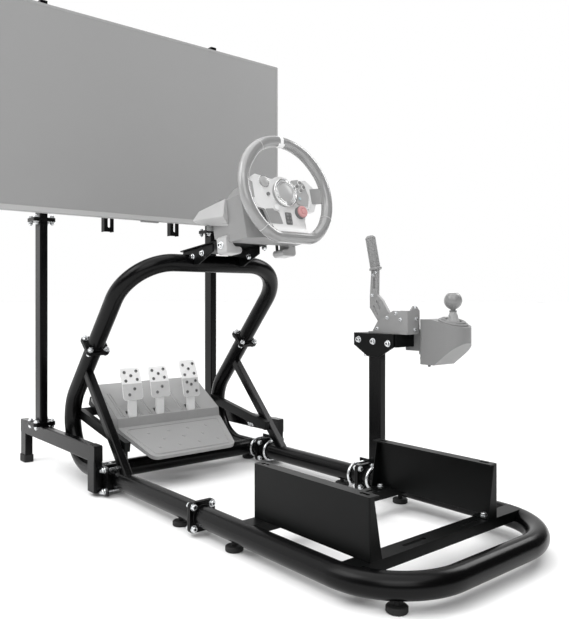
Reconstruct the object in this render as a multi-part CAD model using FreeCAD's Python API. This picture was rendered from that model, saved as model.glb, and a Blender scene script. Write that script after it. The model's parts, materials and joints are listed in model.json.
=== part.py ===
import FreeCAD
import Part
import math
import os
from FreeCAD import Placement, Rotation, Vector

# Driving dimensions in millimetres and degrees. x runs to the driver's right from the middle
# plane, y forward from the rear tube, z up from the floor; export moves y to the middle.

# Round tube frame
TUBE_D = 50.0
MIN_RUN = 0.01
TRACK = 545.0
FOOT_H = 20.0
REAR_BEND_R = 160.0
REAR_JOINT_Y = 595.0
FRONT_JOINT_Y = 1050.0
FRONT_BEND_RUN = 142.0
FRONT_BEND_R = 130.0
LEAN_DEG = 41.5
UPRIGHT_RUN = 193.0
HOOP_RUN = 321.0
HOOP_BEND_R = 140.0
CROSS_TUBE_RUN = 66.0
FLANGE = 70.0
FLANGE_T = 6.0
FLANGE_CORNER = 10.0
BRACE = 25.0
BRACE_BACK = 108.0
BRACE_RUN = 100.0
FOOT_R = 20.0
FOOT_STEM_R = 6.0
FOOT_PAD_H = 12.0
FOOT_BEVEL = 2.0
FOOT_BACK = 130.0
FOOT_AHEAD = 89.0

# Seat supports
BAR_DEPTH = 40.0
BAR_DROP = 22.0
BAR_WALL = 3.0
BAR_SLOT = 60.0
REAR_BAR_Y = 102.0
FRONT_BAR_Y = 443.0
BRACKET_LEFT_X = -236.0
BRACKET_RIGHT_X = 168.0
BRACKET_H = 118.0
BRACKET_LIP = 26.0
BRACKET_FOOT = 34.0
BRACKET_NECK = 12.0
SEAT_HOLE_R = 4.5
SEAT_SLOT = 24.0
SEAT_HOLE_INSET = 24.0

# Rectangular tube of the screen stand and the shifter post
BOX_W = 25.0
BOX_D = 45.0
BOX_CORNER = 4.0
STAND_TOP_Z = 140.0
STAND_RUN = 550.0
CAP_H = 24.0
CAP_LIP = 3.0
POST_BACK = 154.0
POST_JOINT_Z = 795.0
POST_TOP_Z = 1494.0
U_BOLT_R = 4.0
U_BOLT_PITCH = 70.0
U_BOLT_TAIL = 14.0
U_BOLT_PLAY = 0.3
CLAMP_T = 4.0
CLAMP_GAP = 0.6
CLAMP_EDGE = 18.0

# Screen
SCREEN_W = 1110.0
SCREEN_H = 636.0
SCREEN_EDGE = 20.0
SCREEN_BULGE = 34.0
SCREEN_BOTTOM_Z = 805.0
SCREEN_BEZEL = 9.0
SCREEN_CHIN = 18.0
SCREEN_SET = 3.0
ARM_GAP = 250.0
ARM_W = 34.0
ARM_D = 22.0
ARM_SLOT = 9.0
ARM_SLOTS = 3
ARM_BRIDGE = 14.0
ARM_BOTTOM_Z = 765.0
ARM_TOP_Z = 1385.0
CROSSBAR_LOW_Z = 985.0
CROSSBAR_HIGH_Z = 1270.0

# Wheel deck, wheel base and steering wheel
DECK_TILT = 6.0
DECK_OVER = 43.0
DECK_RUN = 275.0
DECK_HALF = 92.0
DECK_T = 3.0
DECK_RISE = 8.0
DECK_CORNER = 12.0
EAR_X = 80.0
EAR_T = 5.0
EAR_REACH = 162.0
EAR_TIP = 22.0
WHEEL_TILT = 14.0
WHEEL_REACH = 381.0
WHEEL_RISE = 141.0
RIM_R = 138.0
RIM_SECTION = 15.0
RIM_FLAT = 124.0
RIM_CORNER = 50.0
SPOKE_T = 9.0
SPOKE_DISH = 16.0
SPOKE_RISE = 4.0
SPOKE_CORNER = 8.0
HUB_R = 40.0
HUB_L = 8.0
HUB_DISC_T = 12.0
SHAFT_R = 12.0
SHAFT_FIT = 0.1
PADDLE_T = 3.0
PADDLE_GAP = 5.0
BUTTON_R = 5.0
BASE_GAP = 7.0
BASE_HALF = 112.0
BASE_RUN = 165.0
BASE_CHIN = 18.0
CLAMP_LEG = 24.0
CLAMP_LEG_D = 44.0
CLAMP_DROP = 46.0
CLAMP_JAW = 20.0
CLAMP_PAD_R = 8.0

# Pedals
PEDAL_TILT = 22.0
PEDAL_BACK = 131.0
PEDAL_Z = 86.0
PEDAL_X = -36.0
PEDAL_DECK_RUN = 385.0
PEDAL_DECK_HEEL = 110.0
PEDAL_DECK_INSET = 8.0
PEDAL_DECK_LIP = 28.0
PEDAL_EAR = 36.0
PEDAL_TAB = 42.0
TRAY_RUN = 375.0
TRAY_HALF = 180.0
TRAY_H = 60.0
TRAY_CORNER = 24.0
PIVOT_S = 176.0
PIVOT_N = 22.0
PEDAL_SLOT = 38.0
PEDAL_FLOOR = 4.0
PEDAL_PRESS = 20.0
PEDAL_ARM = 26.0
PEDAL_ARM_T = 10.0
PEDAL_PIN_R = 5.0
PAD_T = 4.0
PAD_CORNER = 9.0
PAD_LEAN = 34.0
PAD_FOLD = 10.0

# Each pedal: name, then its place and pad half width as parts of TRAY_HALF, and the height of the
# pad's foot and the pad's length as parts of TRAY_RUN.
PEDALS = (
    ("clutch", -0.711, 0.183, 0.235, 0.262),
    ("brake", -0.189, 0.183, 0.235, 0.262),
    ("accelerator", 0.433, 0.170, 0.215, 0.318),
)

# Shifter side
SIDE_POST_TOP = 442.0
SIDE_TRAY_Z = 445.0
SIDE_TRAY_H = 36.0
SIDE_TRAY_X1 = 424.0
SIDE_TRAY_BACK = 82.0
SIDE_TRAY_AHEAD = 80.0
SIDE_TRAY_CORNER = 16.0
GUSSET_T = 5.0
GUSSET_DROP = 30.0
BRAKE_X = 352.0
BRAKE_BACK = 20.0
BRAKE_RISE = 44.0
BRAKE_FOOT = 142.0
BRAKE_FOOT_HALF = 24.0
BRAKE_CHEEK = 65.0
BRAKE_END = 52.0
BRAKE_PEAK = 14.0
BRAKE_CHEEK_T = 5.0
BRAKE_CHEEK_GAP = 28.0
BRAKE_LEVER = 239.0
BRAKE_BLADE = 24.0
BRAKE_BLADE_T = 10.0
BRAKE_PIN_R = 5.0
GRIP_R = 15.0
GRIP_END = 6.0
GEAR_X = 416.0
GEAR_BACK = 195.0
GEAR_W = 90.0
GEAR_D = 130.0
GEAR_H = 125.0
GEAR_RISE = 42.0
GEAR_NOSE_R = 42.0
GEAR_CORNER = 10.0
GEAR_JAW = 24.0
GEAR_JAW_T = 12.0
GEAR_JAW_BITE = 30.0
KNOB_R = 24.5
KNOB_RISE = 94.0
WELL_R = 30.0
WELL_DEPTH = 40.0
WELL_PIVOT = 24.0
RING_HALF = 16.0
RING_WALL = 7.0
RING_PIN_R = 3.0
STICK_R = 5.0
BOOT_LIP = 8.0
BOOT_PLATE = 5.0
BOOT_FOOT = 17.0
BOOT_NECK = 4.0
BOOT_SKIN = 2.0

# Values that follow from the ones above
TUBE_R = TUBE_D / 2
HALF = TRACK / 2
TUBE_Z = FOOT_H + TUBE_R
LEAN = math.radians(LEAN_DEG)
UP_Y = -math.sin(LEAN)
UP_Z = math.cos(LEAN)
FRONT_BEND_Y = FRONT_JOINT_Y + FRONT_BEND_RUN
CROSS_TUBE_Y = FRONT_JOINT_Y + CROSS_TUBE_RUN
FOOT_ROWS = (REAR_JOINT_Y - FOOT_BACK, REAR_JOINT_Y + FOOT_AHEAD, FRONT_JOINT_Y + FOOT_AHEAD)
BEND_END_Y = FRONT_BEND_Y + FRONT_BEND_R * math.cos(LEAN)
BEND_END_Z = TUBE_Z + FRONT_BEND_R * (1 + math.sin(LEAN))
HOOP_Y = BEND_END_Y + (UPRIGHT_RUN + HOOP_RUN) * UP_Y
HOOP_Z = BEND_END_Z + (UPRIGHT_RUN + HOOP_RUN) * UP_Z
BAR_TOP_Z = TUBE_Z + TUBE_R
BOX_X = HALF + FLANGE / 2 + CLAMP_GAP + CLAMP_T + BOX_W / 2
STAND_LEG_Y = FRONT_JOINT_Y
STAND_FRONT_Y = FRONT_JOINT_Y + STAND_RUN
POST_Y = STAND_FRONT_Y - POST_BACK
U_REACH = TUBE_R + U_BOLT_R + U_BOLT_PLAY
DECK_BACK_Y = HOOP_Y + DECK_OVER
DECK_Z = HOOP_Z + TUBE_R + DECK_RISE
WHEEL_Y = DECK_BACK_Y - WHEEL_REACH
WHEEL_Z = DECK_Z + WHEEL_RISE
PEDAL_Y = CROSS_TUBE_Y - PEDAL_BACK
SIDE_TRAY_Y0 = REAR_JOINT_Y - SIDE_TRAY_BACK
SIDE_TRAY_Y1 = REAR_JOINT_Y + SIDE_TRAY_AHEAD
BRAKE_Y = REAR_JOINT_Y - BRAKE_BACK
BRAKE_Z = SIDE_TRAY_Z + BRAKE_RISE
GEAR_Y = REAR_JOINT_Y - GEAR_BACK
GEAR_Z1 = SIDE_TRAY_Z + GEAR_RISE
GEAR_PIVOT_Z = GEAR_Z1 - WELL_PIVOT
KNOB_Z = SIDE_TRAY_Z + KNOB_RISE
MID_Y = (STAND_FRONT_Y + CAP_LIP - TUBE_R) / 2
SHIFT = Vector(0, -MID_Y, 0)
SIDES = {"left": -1, "right": 1}
X_AXIS = Vector(1, 0, 0)
Y_AXIS = Vector(0, 1, 0)
Z_AXIS = Vector(0, 0, 1)


def box(x0, x1, y0, y1, z0, z1):
    """Box between two opposite corners, the x bounds in either order."""
    return Part.makeBox(abs(x1 - x0), y1 - y0, z1 - z0, Vector(min(x0, x1), y0, z0))


def rod(start, end, radius):
    """Round bar between two points."""
    axis = end - start
    return Part.makeCylinder(radius, axis.Length, start, axis)


def prism(points, direction):
    """Flat outline through points, pushed along a direction."""
    face = Part.Face(Part.makePolygon(points + points[:1]))
    return face.extrude(direction)


def side_plate(outline, x0, x1):
    """Plate across x from an outline given as (y, z) pairs."""
    return prism([Vector(x0, y, z) for y, z in outline], Vector(x1 - x0, 0, 0))


def rounded(shape, radius, axis, wanted=None):
    """Round the straight edges that run along an axis, or those of them whose middle is wanted."""
    edges = []
    for edge in shape.Edges:
        ends = [vertex.Point for vertex in edge.Vertexes]
        along = (ends[-1] - ends[0]).normalize()
        middle = (ends[-1] + ends[0]) * 0.5
        if abs(along.dot(axis)) > 0.999 and (wanted is None or wanted(middle)):
            edges.append(edge)
    return shape.makeFillet(radius, edges)


def fused(shapes):
    """One solid from shapes that meet."""
    return shapes[0].multiFuse(shapes[1:]).removeSplitter()


def trimmed(shape, cutters):
    """Largest solid left of a shape once the cutters are taken away."""
    return max(shape.cut(cutters).Solids, key=lambda solid: solid.Volume)


def mirrored(shape):
    """Copy of a shape on the other side of the middle plane."""
    return shape.mirror(Vector(0, 0, 0), X_AXIS)


def local(origin, tilt_deg, flip=False):
    """Placement whose x is the frame's x and whose y rises forward by a tilt."""
    tilt = math.radians(tilt_deg)
    along = Vector(0, math.cos(tilt), math.sin(tilt))
    up = Vector(0, -math.sin(tilt), math.cos(tilt))
    if flip:
        return Placement(origin, Rotation(X_AXIS, up, -along, "XYZ"))
    return Placement(origin, Rotation(X_AXIS, along, up, "XYZ"))


def placed(shape, placement):
    """Copy of a shape moved from local axes into the frame."""
    moved = shape.copy()
    moved.Placement = placement.multiply(shape.Placement)
    return moved


def arc_bar(start, along, centre, axis, angle_deg, radius):
    """Round bar turned about an axis, from a start point and direction."""
    ring = Part.Face(Part.Wire(Part.makeCircle(radius, start, along)))
    return ring.revolve(centre, axis, angle_deg)


def bent_bar(points, bend_radius, radius):
    """Round bar along points, every inner corner bent to one radius."""
    lengths = []
    last = points[0]
    for before, corner, after in zip(points, points[1:], points[2:]):
        back = (before - corner).normalize()
        ahead = (after - corner).normalize()
        half = math.acos(back.dot(ahead)) / 2
        reach = bend_radius / math.tan(half)
        start = corner + back * reach
        centre = corner + (back + ahead).normalize() * (bend_radius / math.sin(half))
        if (start - last).Length > MIN_RUN:
            lengths.append(rod(last, start, radius))
        turn = 180 - 2 * math.degrees(half)
        lengths.append(arc_bar(start, back, centre, ahead.cross(back), turn, radius))
        last = corner + ahead * reach
    lengths.append(rod(last, points[-1], radius))
    return fused(lengths)


def flange(centre, direction):
    """Square joint plate whose outer face stands at centre and body lies along direction."""
    plate = box(-FLANGE / 2, FLANGE / 2, -FLANGE / 2, FLANGE / 2, 0, FLANGE_T)
    plate = rounded(plate, FLANGE_CORNER, Z_AXIS)
    turn = Rotation(X_AXIS, direction.cross(X_AXIS), direction, "XYZ")
    return placed(plate, Placement(centre, turn))


def box_tube(x, y0, y1, z0, z1):
    """Rectangular tube, wide BOX_W in x, between bounds in y and z."""
    run = Z_AXIS if z1 - z0 > y1 - y0 else Y_AXIS
    body = box(x - BOX_W / 2, x + BOX_W / 2, y0, y1, z0, z1)
    return rounded(body, BOX_CORNER, run)


def upright_point(side, run):
    """Point on the centreline of a leaning upright."""
    return Vector(side * HALF, BEND_END_Y + run * UP_Y, BEND_END_Z + run * UP_Z)


def slot_cutter(centre, run, radius, through):
    """Long hole about a point; run joins its end centres and through is the depth it cuts."""
    start = centre - through * 0.5
    depth = through.Length
    ends = [start + run * 0.5, start - run * 0.5]
    across = through.cross(run).normalize() * radius
    corners = [ends[0] + across, ends[1] + across, ends[1] - across, ends[0] - across]
    holes = [Part.makeCylinder(radius, depth, end, through) for end in ends]
    return fused(holes + [prism(corners, through)])


def base_frame():
    """Floor frame, uprights, hoop and braces."""
    pieces = {}
    rear_joint = Vector(0, REAR_JOINT_Y, TUBE_Z)
    front_joint = Vector(0, FRONT_JOINT_Y, TUBE_Z)
    aside = Vector(HALF, 0, 0)
    ahead = Y_AXIS
    back = Y_AXIS * -1
    lean = Vector(0, UP_Y, UP_Z)
    corner = Vector(0, 0, TUBE_Z)
    line = [rear_joint - aside, corner - aside, corner + aside, rear_joint + aside]
    plates = [flange(rear_joint + aside * side, back) for side in SIDES.values()]
    pieces["rear_base_loop"] = fused([bent_bar(line, REAR_BEND_R, TUBE_R)] + plates)
    corner_y = FRONT_BEND_Y + FRONT_BEND_R * math.tan((math.pi / 2 + LEAN) / 2)
    side_tubes = []
    uprights = []
    braces = []
    for side in SIDES.values():
        start = rear_joint + aside * side
        end = front_joint + aside * side
        side_tube = rod(start, end, TUBE_R)
        side_tubes.append(fused([side_tube, flange(start, ahead), flange(end, back)]))
        joint = upright_point(side, UPRIGHT_RUN)
        bent = bent_bar([end, Vector(side * HALF, corner_y, TUBE_Z), joint], FRONT_BEND_R, TUBE_R)
        uprights.append(fused([bent, flange(end, ahead), flange(joint, lean * -1)]))
        foot = Vector(side * HALF, FRONT_JOINT_Y - BRACE_BACK, TUBE_Z)
        run = upright_point(side, BRACE_RUN) - foot
        bar = box(-BRACE / 2, BRACE / 2, -BRACE / 2, BRACE / 2, 0, run.Length)
        bar = rounded(bar, BOX_CORNER, Z_AXIS)
        run.normalize()
        bar = placed(bar, Placement(foot, Rotation(X_AXIS, run.cross(X_AXIS), run, "XYZ")))
        braces.append(trimmed(bar, [side_tube, bent]))
    pieces["side_tubes"] = Part.makeCompound(side_tubes)
    pieces["lower_uprights"] = Part.makeCompound(uprights)
    pieces["braces"] = Part.makeCompound(braces)
    joints = [upright_point(side, UPRIGHT_RUN) for side in SIDES.values()]
    tops = [upright_point(side, UPRIGHT_RUN + HOOP_RUN) for side in SIDES.values()]
    hoop = bent_bar([joints[0], tops[0], tops[1], joints[1]], HOOP_BEND_R, TUBE_R)
    pieces["upper_hoop"] = fused([hoop] + [flange(joint, lean) for joint in joints])
    middle = Vector(0, CROSS_TUBE_Y, TUBE_Z)
    pieces["cross_tube"] = trimmed(rod(middle - aside, middle + aside, TUBE_R), uprights)
    return pieces


def base_feet(frame):
    """Rubber discs on short stems under the floor frame."""
    inset = REAR_BEND_R * (1 - math.sqrt(0.5))
    spots = [(side * (HALF - inset), inset) for side in SIDES.values()]
    spots += [(side * HALF, y) for side in SIDES.values() for y in FOOT_ROWS]
    tubes = [frame[name] for name in ("rear_base_loop", "side_tubes", "lower_uprights")]
    feet = []
    for x, y in spots:
        pad = Part.makeCylinder(FOOT_R, FOOT_PAD_H, Vector(x, y, 0))
        rims = [edge for edge in pad.Edges if len(edge.Vertexes) == 1]
        pad = pad.makeChamfer(FOOT_BEVEL, rims)
        stem = Part.makeCylinder(FOOT_STEM_R, TUBE_Z, Vector(x, y, 0))
        feet.append(trimmed(fused([pad, stem]), tubes))
    return {"base_feet": Part.makeCompound(feet)}


def seat_bar(y, frame):
    """Folded crossbar on the floor tubes, open below, with long holes for the seat brackets."""
    top = BAR_TOP_Z
    outer = box(-HALF, HALF, y, y + BAR_DEPTH, top - BAR_DROP, top)
    inner = box(-HALF, HALF, y + BAR_WALL, y + BAR_DEPTH - BAR_WALL, top - BAR_DROP, top - BAR_WALL)
    bar = outer.cut(inner)
    run = X_AXIS * BAR_SLOT
    through = Z_AXIS * (4 * BAR_WALL)
    for side in SIDES.values():
        middle = Vector(side * HALF * 0.32, y + BAR_DEPTH / 2, top)
        bar = bar.cut(slot_cutter(middle, run, SEAT_HOLE_R, through))
    return trimmed(bar, [frame["rear_base_loop"]])


def seat_bracket(x, side):
    """Folded seat bracket: a web, a slotted top lip, tapered end flanges and two bolted feet."""
    y0 = REAR_BAR_Y
    y1 = FRONT_BAR_Y
    z0 = BAR_TOP_Z
    z1 = z0 + BRACKET_H
    wall = BAR_WALL
    folds = [
        box(x, x - side * wall, y0, y1, z0, z1),
        box(x, x - side * BRACKET_LIP, y0, y1, z1 - wall, z1),
    ]
    outline = [(0, z0), (BRACKET_FOOT, z0), (BRACKET_NECK, z1), (0, z1)]
    for end, foot in ((y0, y0), (y1 - wall, y1 - BAR_DEPTH)):
        taper = [Vector(x - side * reach, end, z) for reach, z in outline]
        folds.append(prism(taper, Vector(0, wall, 0)))
        folds.append(box(x, x - side * BRACKET_FOOT, foot, foot + BAR_DEPTH, z0, z0 + wall))
    bracket = rounded(fused(folds), wall, Z_AXIS, lambda point: abs(point.x - x) < wall / 2)
    run = Y_AXIS * (SEAT_SLOT - 2 * SEAT_HOLE_R)
    for y in (y0 + SEAT_HOLE_INSET, y1 - SEAT_HOLE_INSET):
        middle = Vector(x - side * BRACKET_LIP / 2, y, z1)
        bracket = bracket.cut(slot_cutter(middle, run, SEAT_HOLE_R, Z_AXIS * (4 * wall)))
    return bracket


def seat_supports(frame):
    """Crossbars and brackets that carry a seat."""
    rows = (REAR_BAR_Y, FRONT_BAR_Y - BAR_DEPTH)
    return {
        "seat_crossbars": Part.makeCompound([seat_bar(y, frame) for y in rows]),
        "left_seat_bracket": seat_bracket(BRACKET_LEFT_X, -1),
        "right_seat_bracket": seat_bracket(BRACKET_RIGHT_X, 1),
    }


def u_bolts(side, y):
    """Two bent rods round a floor tube, tails through the clamp plate."""
    tail = BOX_X - BOX_W / 2 + U_BOLT_TAIL
    near = HALF - U_REACH
    rods = []
    for step in (-U_BOLT_PITCH / 2, U_BOLT_PITCH / 2):
        corners = ((tail, U_REACH), (near, U_REACH), (near, -U_REACH), (tail, -U_REACH))
        line = [Vector(side * x, y + step, TUBE_Z + rise) for x, rise in corners]
        rods.append(bent_bar(line, U_REACH, U_BOLT_R))
    return rods


def clamped(body, side, y):
    """Fuse a clamp plate and its saddles to a post on the right and open it for the rods."""
    inner = BOX_X - BOX_W / 2 - CLAMP_T
    half = U_BOLT_PITCH / 2 + CLAMP_EDGE
    high = U_REACH + CLAMP_EDGE / 2
    solids = [box(inner, inner + CLAMP_T, y - half, y + half, TUBE_Z - high, TUBE_Z + high)]
    holes = []
    seat = CLAMP_EDGE / 2
    for step in (-U_BOLT_PITCH / 2, U_BOLT_PITCH / 2):
        middle = Vector(HALF, y + step, TUBE_Z)
        block = box(HALF, inner, middle.y - seat, middle.y + seat, TUBE_Z - 2 * seat, TUBE_Z + 2 * seat)
        tube = rod(middle - Y_AXIS * CLAMP_EDGE, middle + Y_AXIS * CLAMP_EDGE, TUBE_R + U_BOLT_PLAY)
        solids.append(block.cut(tube))
        for rise in (-U_REACH, U_REACH):
            start = middle + Z_AXIS * rise
            holes.append(rod(start, start + X_AXIS * BOX_X, U_BOLT_R + U_BOLT_PLAY))
    if side < 0:
        solids = [mirrored(solid) for solid in solids]
        holes = [mirrored(hole) for hole in holes]
    return fused([body] + solids).cut(holes)


def screen_stand():
    """Floor rails, posts and crossbars that hold the screen."""
    caps = []
    rails = []
    lower = []
    upper = []
    rail_y0 = STAND_LEG_Y - BOX_D / 2
    rail_y1 = STAND_FRONT_Y
    foot_z = STAND_TOP_Z + FLANGE_T
    post_y0 = POST_Y - BOX_D / 2
    post_y1 = POST_Y + BOX_D / 2
    down = Z_AXIS * -1
    for side in SIDES.values():
        x = side * BOX_X
        rail = box_tube(x, rail_y0, rail_y1, STAND_TOP_Z - BOX_D, STAND_TOP_Z)
        rear = box_tube(x, rail_y0, rail_y0 + BOX_D, FOOT_PAD_H, STAND_TOP_Z)
        front = box_tube(x, rail_y1 - BOX_D, rail_y1, CAP_LIP, STAND_TOP_Z)
        foot = Vector(x, POST_Y, foot_z)
        joint = Vector(x, POST_Y, POST_JOINT_Z)
        rails.append(clamped(fused([rail, rear, front, flange(foot, down)]), side, STAND_LEG_Y))
        half = BOX_W / 2 + CAP_LIP
        cap = box(x - half, x + half, rail_y1 - BOX_D - CAP_LIP, rail_y1 + CAP_LIP, 0, CAP_H)
        caps.append(rounded(cap, BOX_CORNER + CAP_LIP, Z_AXIS).cut(front))
        post = box_tube(x, post_y0, post_y1, foot_z, POST_JOINT_Z)
        lower.append(fused([post, flange(foot, Z_AXIS), flange(joint, down)]))
        post = box_tube(x, post_y0, post_y1, POST_JOINT_Z, POST_TOP_Z)
        upper.append(fused([post, flange(joint, Z_AXIS)]))
    bars = []
    for z in (CROSSBAR_LOW_Z, CROSSBAR_HIGH_Z):
        end = BOX_X + BOX_W / 2
        bar = box(-end, end, post_y0 - BOX_W, post_y0, z - BOX_D / 2, z + BOX_D / 2)
        bars.append(rounded(bar, BOX_CORNER, X_AXIS))
    return {
        "stand_rails": Part.makeCompound(rails),
        "stand_feet": Part.makeCompound(caps),
        "lower_posts": Part.makeCompound(lower),
        "upper_posts": Part.makeCompound(upper),
        "screen_crossbars": Part.makeCompound(bars),
    }


def screen_arm(x, back_y):
    """Upright channel on the crossbars, open behind, its web cut by a row of long holes."""
    half = ARM_W / 2
    front_y = back_y - ARM_D
    arm = box(x - half, x + half, front_y, back_y, ARM_BOTTOM_Z, ARM_TOP_Z)
    inner = half - BAR_WALL
    groove = box(x - inner, x + inner, front_y + BAR_WALL, back_y, ARM_BOTTOM_Z, ARM_TOP_Z)
    arm = arm.cut(groove)
    pitch = (ARM_TOP_Z - ARM_BOTTOM_Z - ARM_BRIDGE) / ARM_SLOTS
    run = Z_AXIS * (pitch - ARM_BRIDGE - ARM_SLOT)
    for row in range(ARM_SLOTS):
        middle = Vector(x, front_y, ARM_BOTTOM_Z + ARM_BRIDGE / 2 + (row + 0.5) * pitch)
        arm = arm.cut(slot_cutter(middle, run, ARM_SLOT / 2, Y_AXIS * (4 * BAR_WALL)))
    return arm


def screen():
    """Screen on its two arms: a thin slab, a deeper back and a set-in panel."""
    arm_y = POST_Y - BOX_D / 2 - BOX_W
    back_y = arm_y - ARM_D
    slab_y = back_y - SCREEN_BULGE
    front_y = slab_y - SCREEN_EDGE
    half = SCREEN_W / 2
    top_z = SCREEN_BOTTOM_Z + SCREEN_H
    slab = box(-half, half, front_y, slab_y, SCREEN_BOTTOM_Z, top_z)
    slab = rounded(slab, SCREEN_BEZEL / 2, Y_AXIS)
    middle_z = SCREEN_BOTTOM_Z + SCREEN_H * 0.46
    rings = []
    for y, part in ((slab_y, 1.0), (back_y, 0.88)):
        wide = SCREEN_W * 0.40 * part
        high = SCREEN_H * 0.42 * part
        signs = ((-1, -1), (1, -1), (1, 1), (-1, 1))
        corners = [Vector(a * wide, y, middle_z + b * high) for a, b in signs]
        rings.append(Part.makePolygon(corners + corners[:1]))
    bulge = Part.makeLoft(rings, True, True)
    edge = half - SCREEN_BEZEL
    low = SCREEN_BOTTOM_Z + SCREEN_CHIN
    high = top_z - SCREEN_BEZEL
    recess = box(-edge, edge, front_y, front_y + SCREEN_SET, low, high)
    arms = [screen_arm(side * ARM_GAP / 2, arm_y) for side in SIDES.values()]
    return {
        "screen_arms": Part.makeCompound(arms),
        "screen_housing": fused([slab, bulge]).cut(recess),
        "screen_panel": box(-edge, edge, front_y + SCREEN_SET / 3, front_y + SCREEN_SET, low, high),
    }


def deck_spot():
    """Axes of the wheel deck: origin at its front edge, y forward along it, z up from it."""
    return local(Vector(0, DECK_BACK_Y, DECK_Z), -DECK_TILT)


def wheel_deck(frame):
    """Tilted plate over the hoop, with two ears that hold it."""
    plate = box(-DECK_HALF, DECK_HALF, -DECK_RUN, 0, 0, DECK_T)
    deck = placed(rounded(plate, DECK_CORNER, Z_AXIS), deck_spot())
    slope = math.tan(math.radians(DECK_TILT))
    low_z = HOOP_Z - TUBE_R * 0.2
    back_y = HOOP_Y + TUBE_R * 1.4
    tip_y = DECK_BACK_Y - EAR_REACH
    tip_z = DECK_Z + slope * EAR_REACH
    outline = [
        (back_y, low_z),
        (back_y, DECK_Z + slope * (DECK_BACK_Y - back_y)),
        (tip_y, tip_z),
        (tip_y, tip_z - EAR_TIP),
        (HOOP_Y - TUBE_R * 1.8, low_z),
    ]
    ears = []
    for side in SIDES.values():
        ear = side_plate(outline, side * EAR_X - EAR_T / 2, side * EAR_X + EAR_T / 2)
        ears.append(trimmed(ear, [frame["upper_hoop"], deck]))
    return {"wheel_deck": deck, "wheel_ears": Part.makeCompound(ears)}


def steering_rim():
    """Rim of the wheel: a round bar in a circle whose foot is cut flat, corners rounded."""
    inner = RIM_R - RIM_CORNER
    drop = RIM_FLAT - RIM_CORNER
    side = math.sqrt(inner * inner - drop * drop)
    corner = math.atan2(side, drop)
    angle = math.degrees(corner)
    start = Vector(RIM_R * math.sin(corner), -RIM_R * math.cos(corner), 0)
    along = Vector(math.cos(corner), math.sin(corner), 0)
    flat = Vector(side, -RIM_FLAT, 0)
    centre = Vector(side, -drop, 0)
    bend = arc_bar(flat, X_AXIS, centre, Z_AXIS, angle, RIM_SECTION)
    return fused([
        arc_bar(start, along, Vector(0, 0, 0), Z_AXIS, 360 - 2 * angle, RIM_SECTION),
        bend,
        mirrored(bend),
        rod(flat - X_AXIS * (2 * side), flat, RIM_SECTION),
    ])


def spoke_plate(rim):
    """Dished plate round the hub, with three arms that rise from it to the rim."""
    half = (
        (0.26, 0.28), (0.62, 0.34), (0.80, 0.20), (0.80, -0.14),
        (0.72, -0.30), (0.50, -0.33), (0.42, -0.57), (0.44, -0.70),
    )
    points = list(half) + [(-x, y) for x, y in reversed(half)]
    face = -SPOKE_DISH
    back = face - SPOKE_T
    plate = prism([Vector(x * RIM_R, y * RIM_R, back) for x, y in points], Z_AXIS * SPOKE_T)
    plate = rounded(plate, SPOKE_CORNER, Z_AXIS)
    hub = Part.makeCylinder(HUB_R + SPOKE_CORNER, SPOKE_T, Vector(0, 0, back))
    reach = RIM_R - SPOKE_RISE
    low = SPOKE_RISE - SPOKE_T
    near = 0.70 * RIM_R
    line = ((near, back), (near, face), (reach, SPOKE_RISE), (reach, low))
    arm = prism([Vector(x, -0.13 * RIM_R, z) for x, z in line], Y_AXIS * (0.30 * RIM_R))
    near = -0.60 * RIM_R
    reach = SPOKE_RISE - RIM_FLAT
    line = ((near, back), (near, face), (reach, SPOKE_RISE), (reach, low))
    foot = prism([Vector(-0.40 * RIM_R, y, z) for y, z in line], X_AXIS * (0.80 * RIM_R))
    return trimmed(fused([plate, hub, arm, mirrored(arm), foot]), [rim])


def wheel_buttons():
    """Buttons on the spokes: a large round pad, four small ones, a dial and a lower pair."""
    face = -SPOKE_DISH
    x = RIM_R * 0.465
    y = RIM_R * 0.20
    arm = BUTTON_R * 2.2
    buttons = [Part.makeCylinder(BUTTON_R * 3, BUTTON_R, Vector(-x, y, face))]
    for a, b in ((1, 0), (-1, 0), (0, 1), (0, -1)):
        spot = Vector(x + a * arm * 0.8, y + b * arm * 0.8, face)
        buttons.append(Part.makeCylinder(BUTTON_R, BUTTON_R, spot))
    dial = Vector(RIM_R * 0.34, -RIM_R * 0.35, face)
    buttons.append(Part.makeCylinder(BUTTON_R * 3.4, BUTTON_R * 2.4, dial))
    for side in SIDES.values():
        near = side * BUTTON_R * 0.5
        far = side * BUTTON_R * 3.5
        buttons.append(box(near, far, -RIM_R * 0.58, -RIM_R * 0.52, face, face + BUTTON_R * 0.8))
    return Part.makeCompound(buttons)


def steering(spot):
    """Steering wheel in its own axes: x right, y up the wheel, z towards the driver."""
    rim = steering_rim()
    front = -SPOKE_DISH
    back = front - SPOKE_T
    boss = Part.makeCylinder(HUB_R, HUB_L, Vector(0, 0, back - HUB_L))
    depth = BASE_GAP + HUB_R
    shaft = Part.makeCylinder(SHAFT_R, depth, Vector(0, 0, back - HUB_L - depth))
    boss = fused([boss, shaft])
    disc = Part.makeCylinder(HUB_R * 0.9, HUB_DISC_T, Vector(0, 0, front))
    disc = disc.makeChamfer(HUB_DISC_T / 4, [disc.Edges[0]])
    paddles = []
    face = back - PADDLE_GAP
    for side in SIDES.values():
        inner = side * RIM_R * 0.28
        outer = side * RIM_R * 0.81
        plate = box(inner, outer, -RIM_R * 0.15, RIM_R * 0.28, face - PADDLE_T, face)
        plate = rounded(plate, SPOKE_CORNER, Z_AXIS)
        paddles.append(trimmed(plate, [boss]))
    pieces = {
        "steering_rim": rim,
        "steering_spokes": spoke_plate(rim),
        "steering_boss": boss,
        "hub_disc": disc,
        "wheel_buttons": wheel_buttons(),
        "shift_paddles": Part.makeCompound(paddles),
    }
    return {name: placed(shape, spot) for name, shape in pieces.items()}


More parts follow.
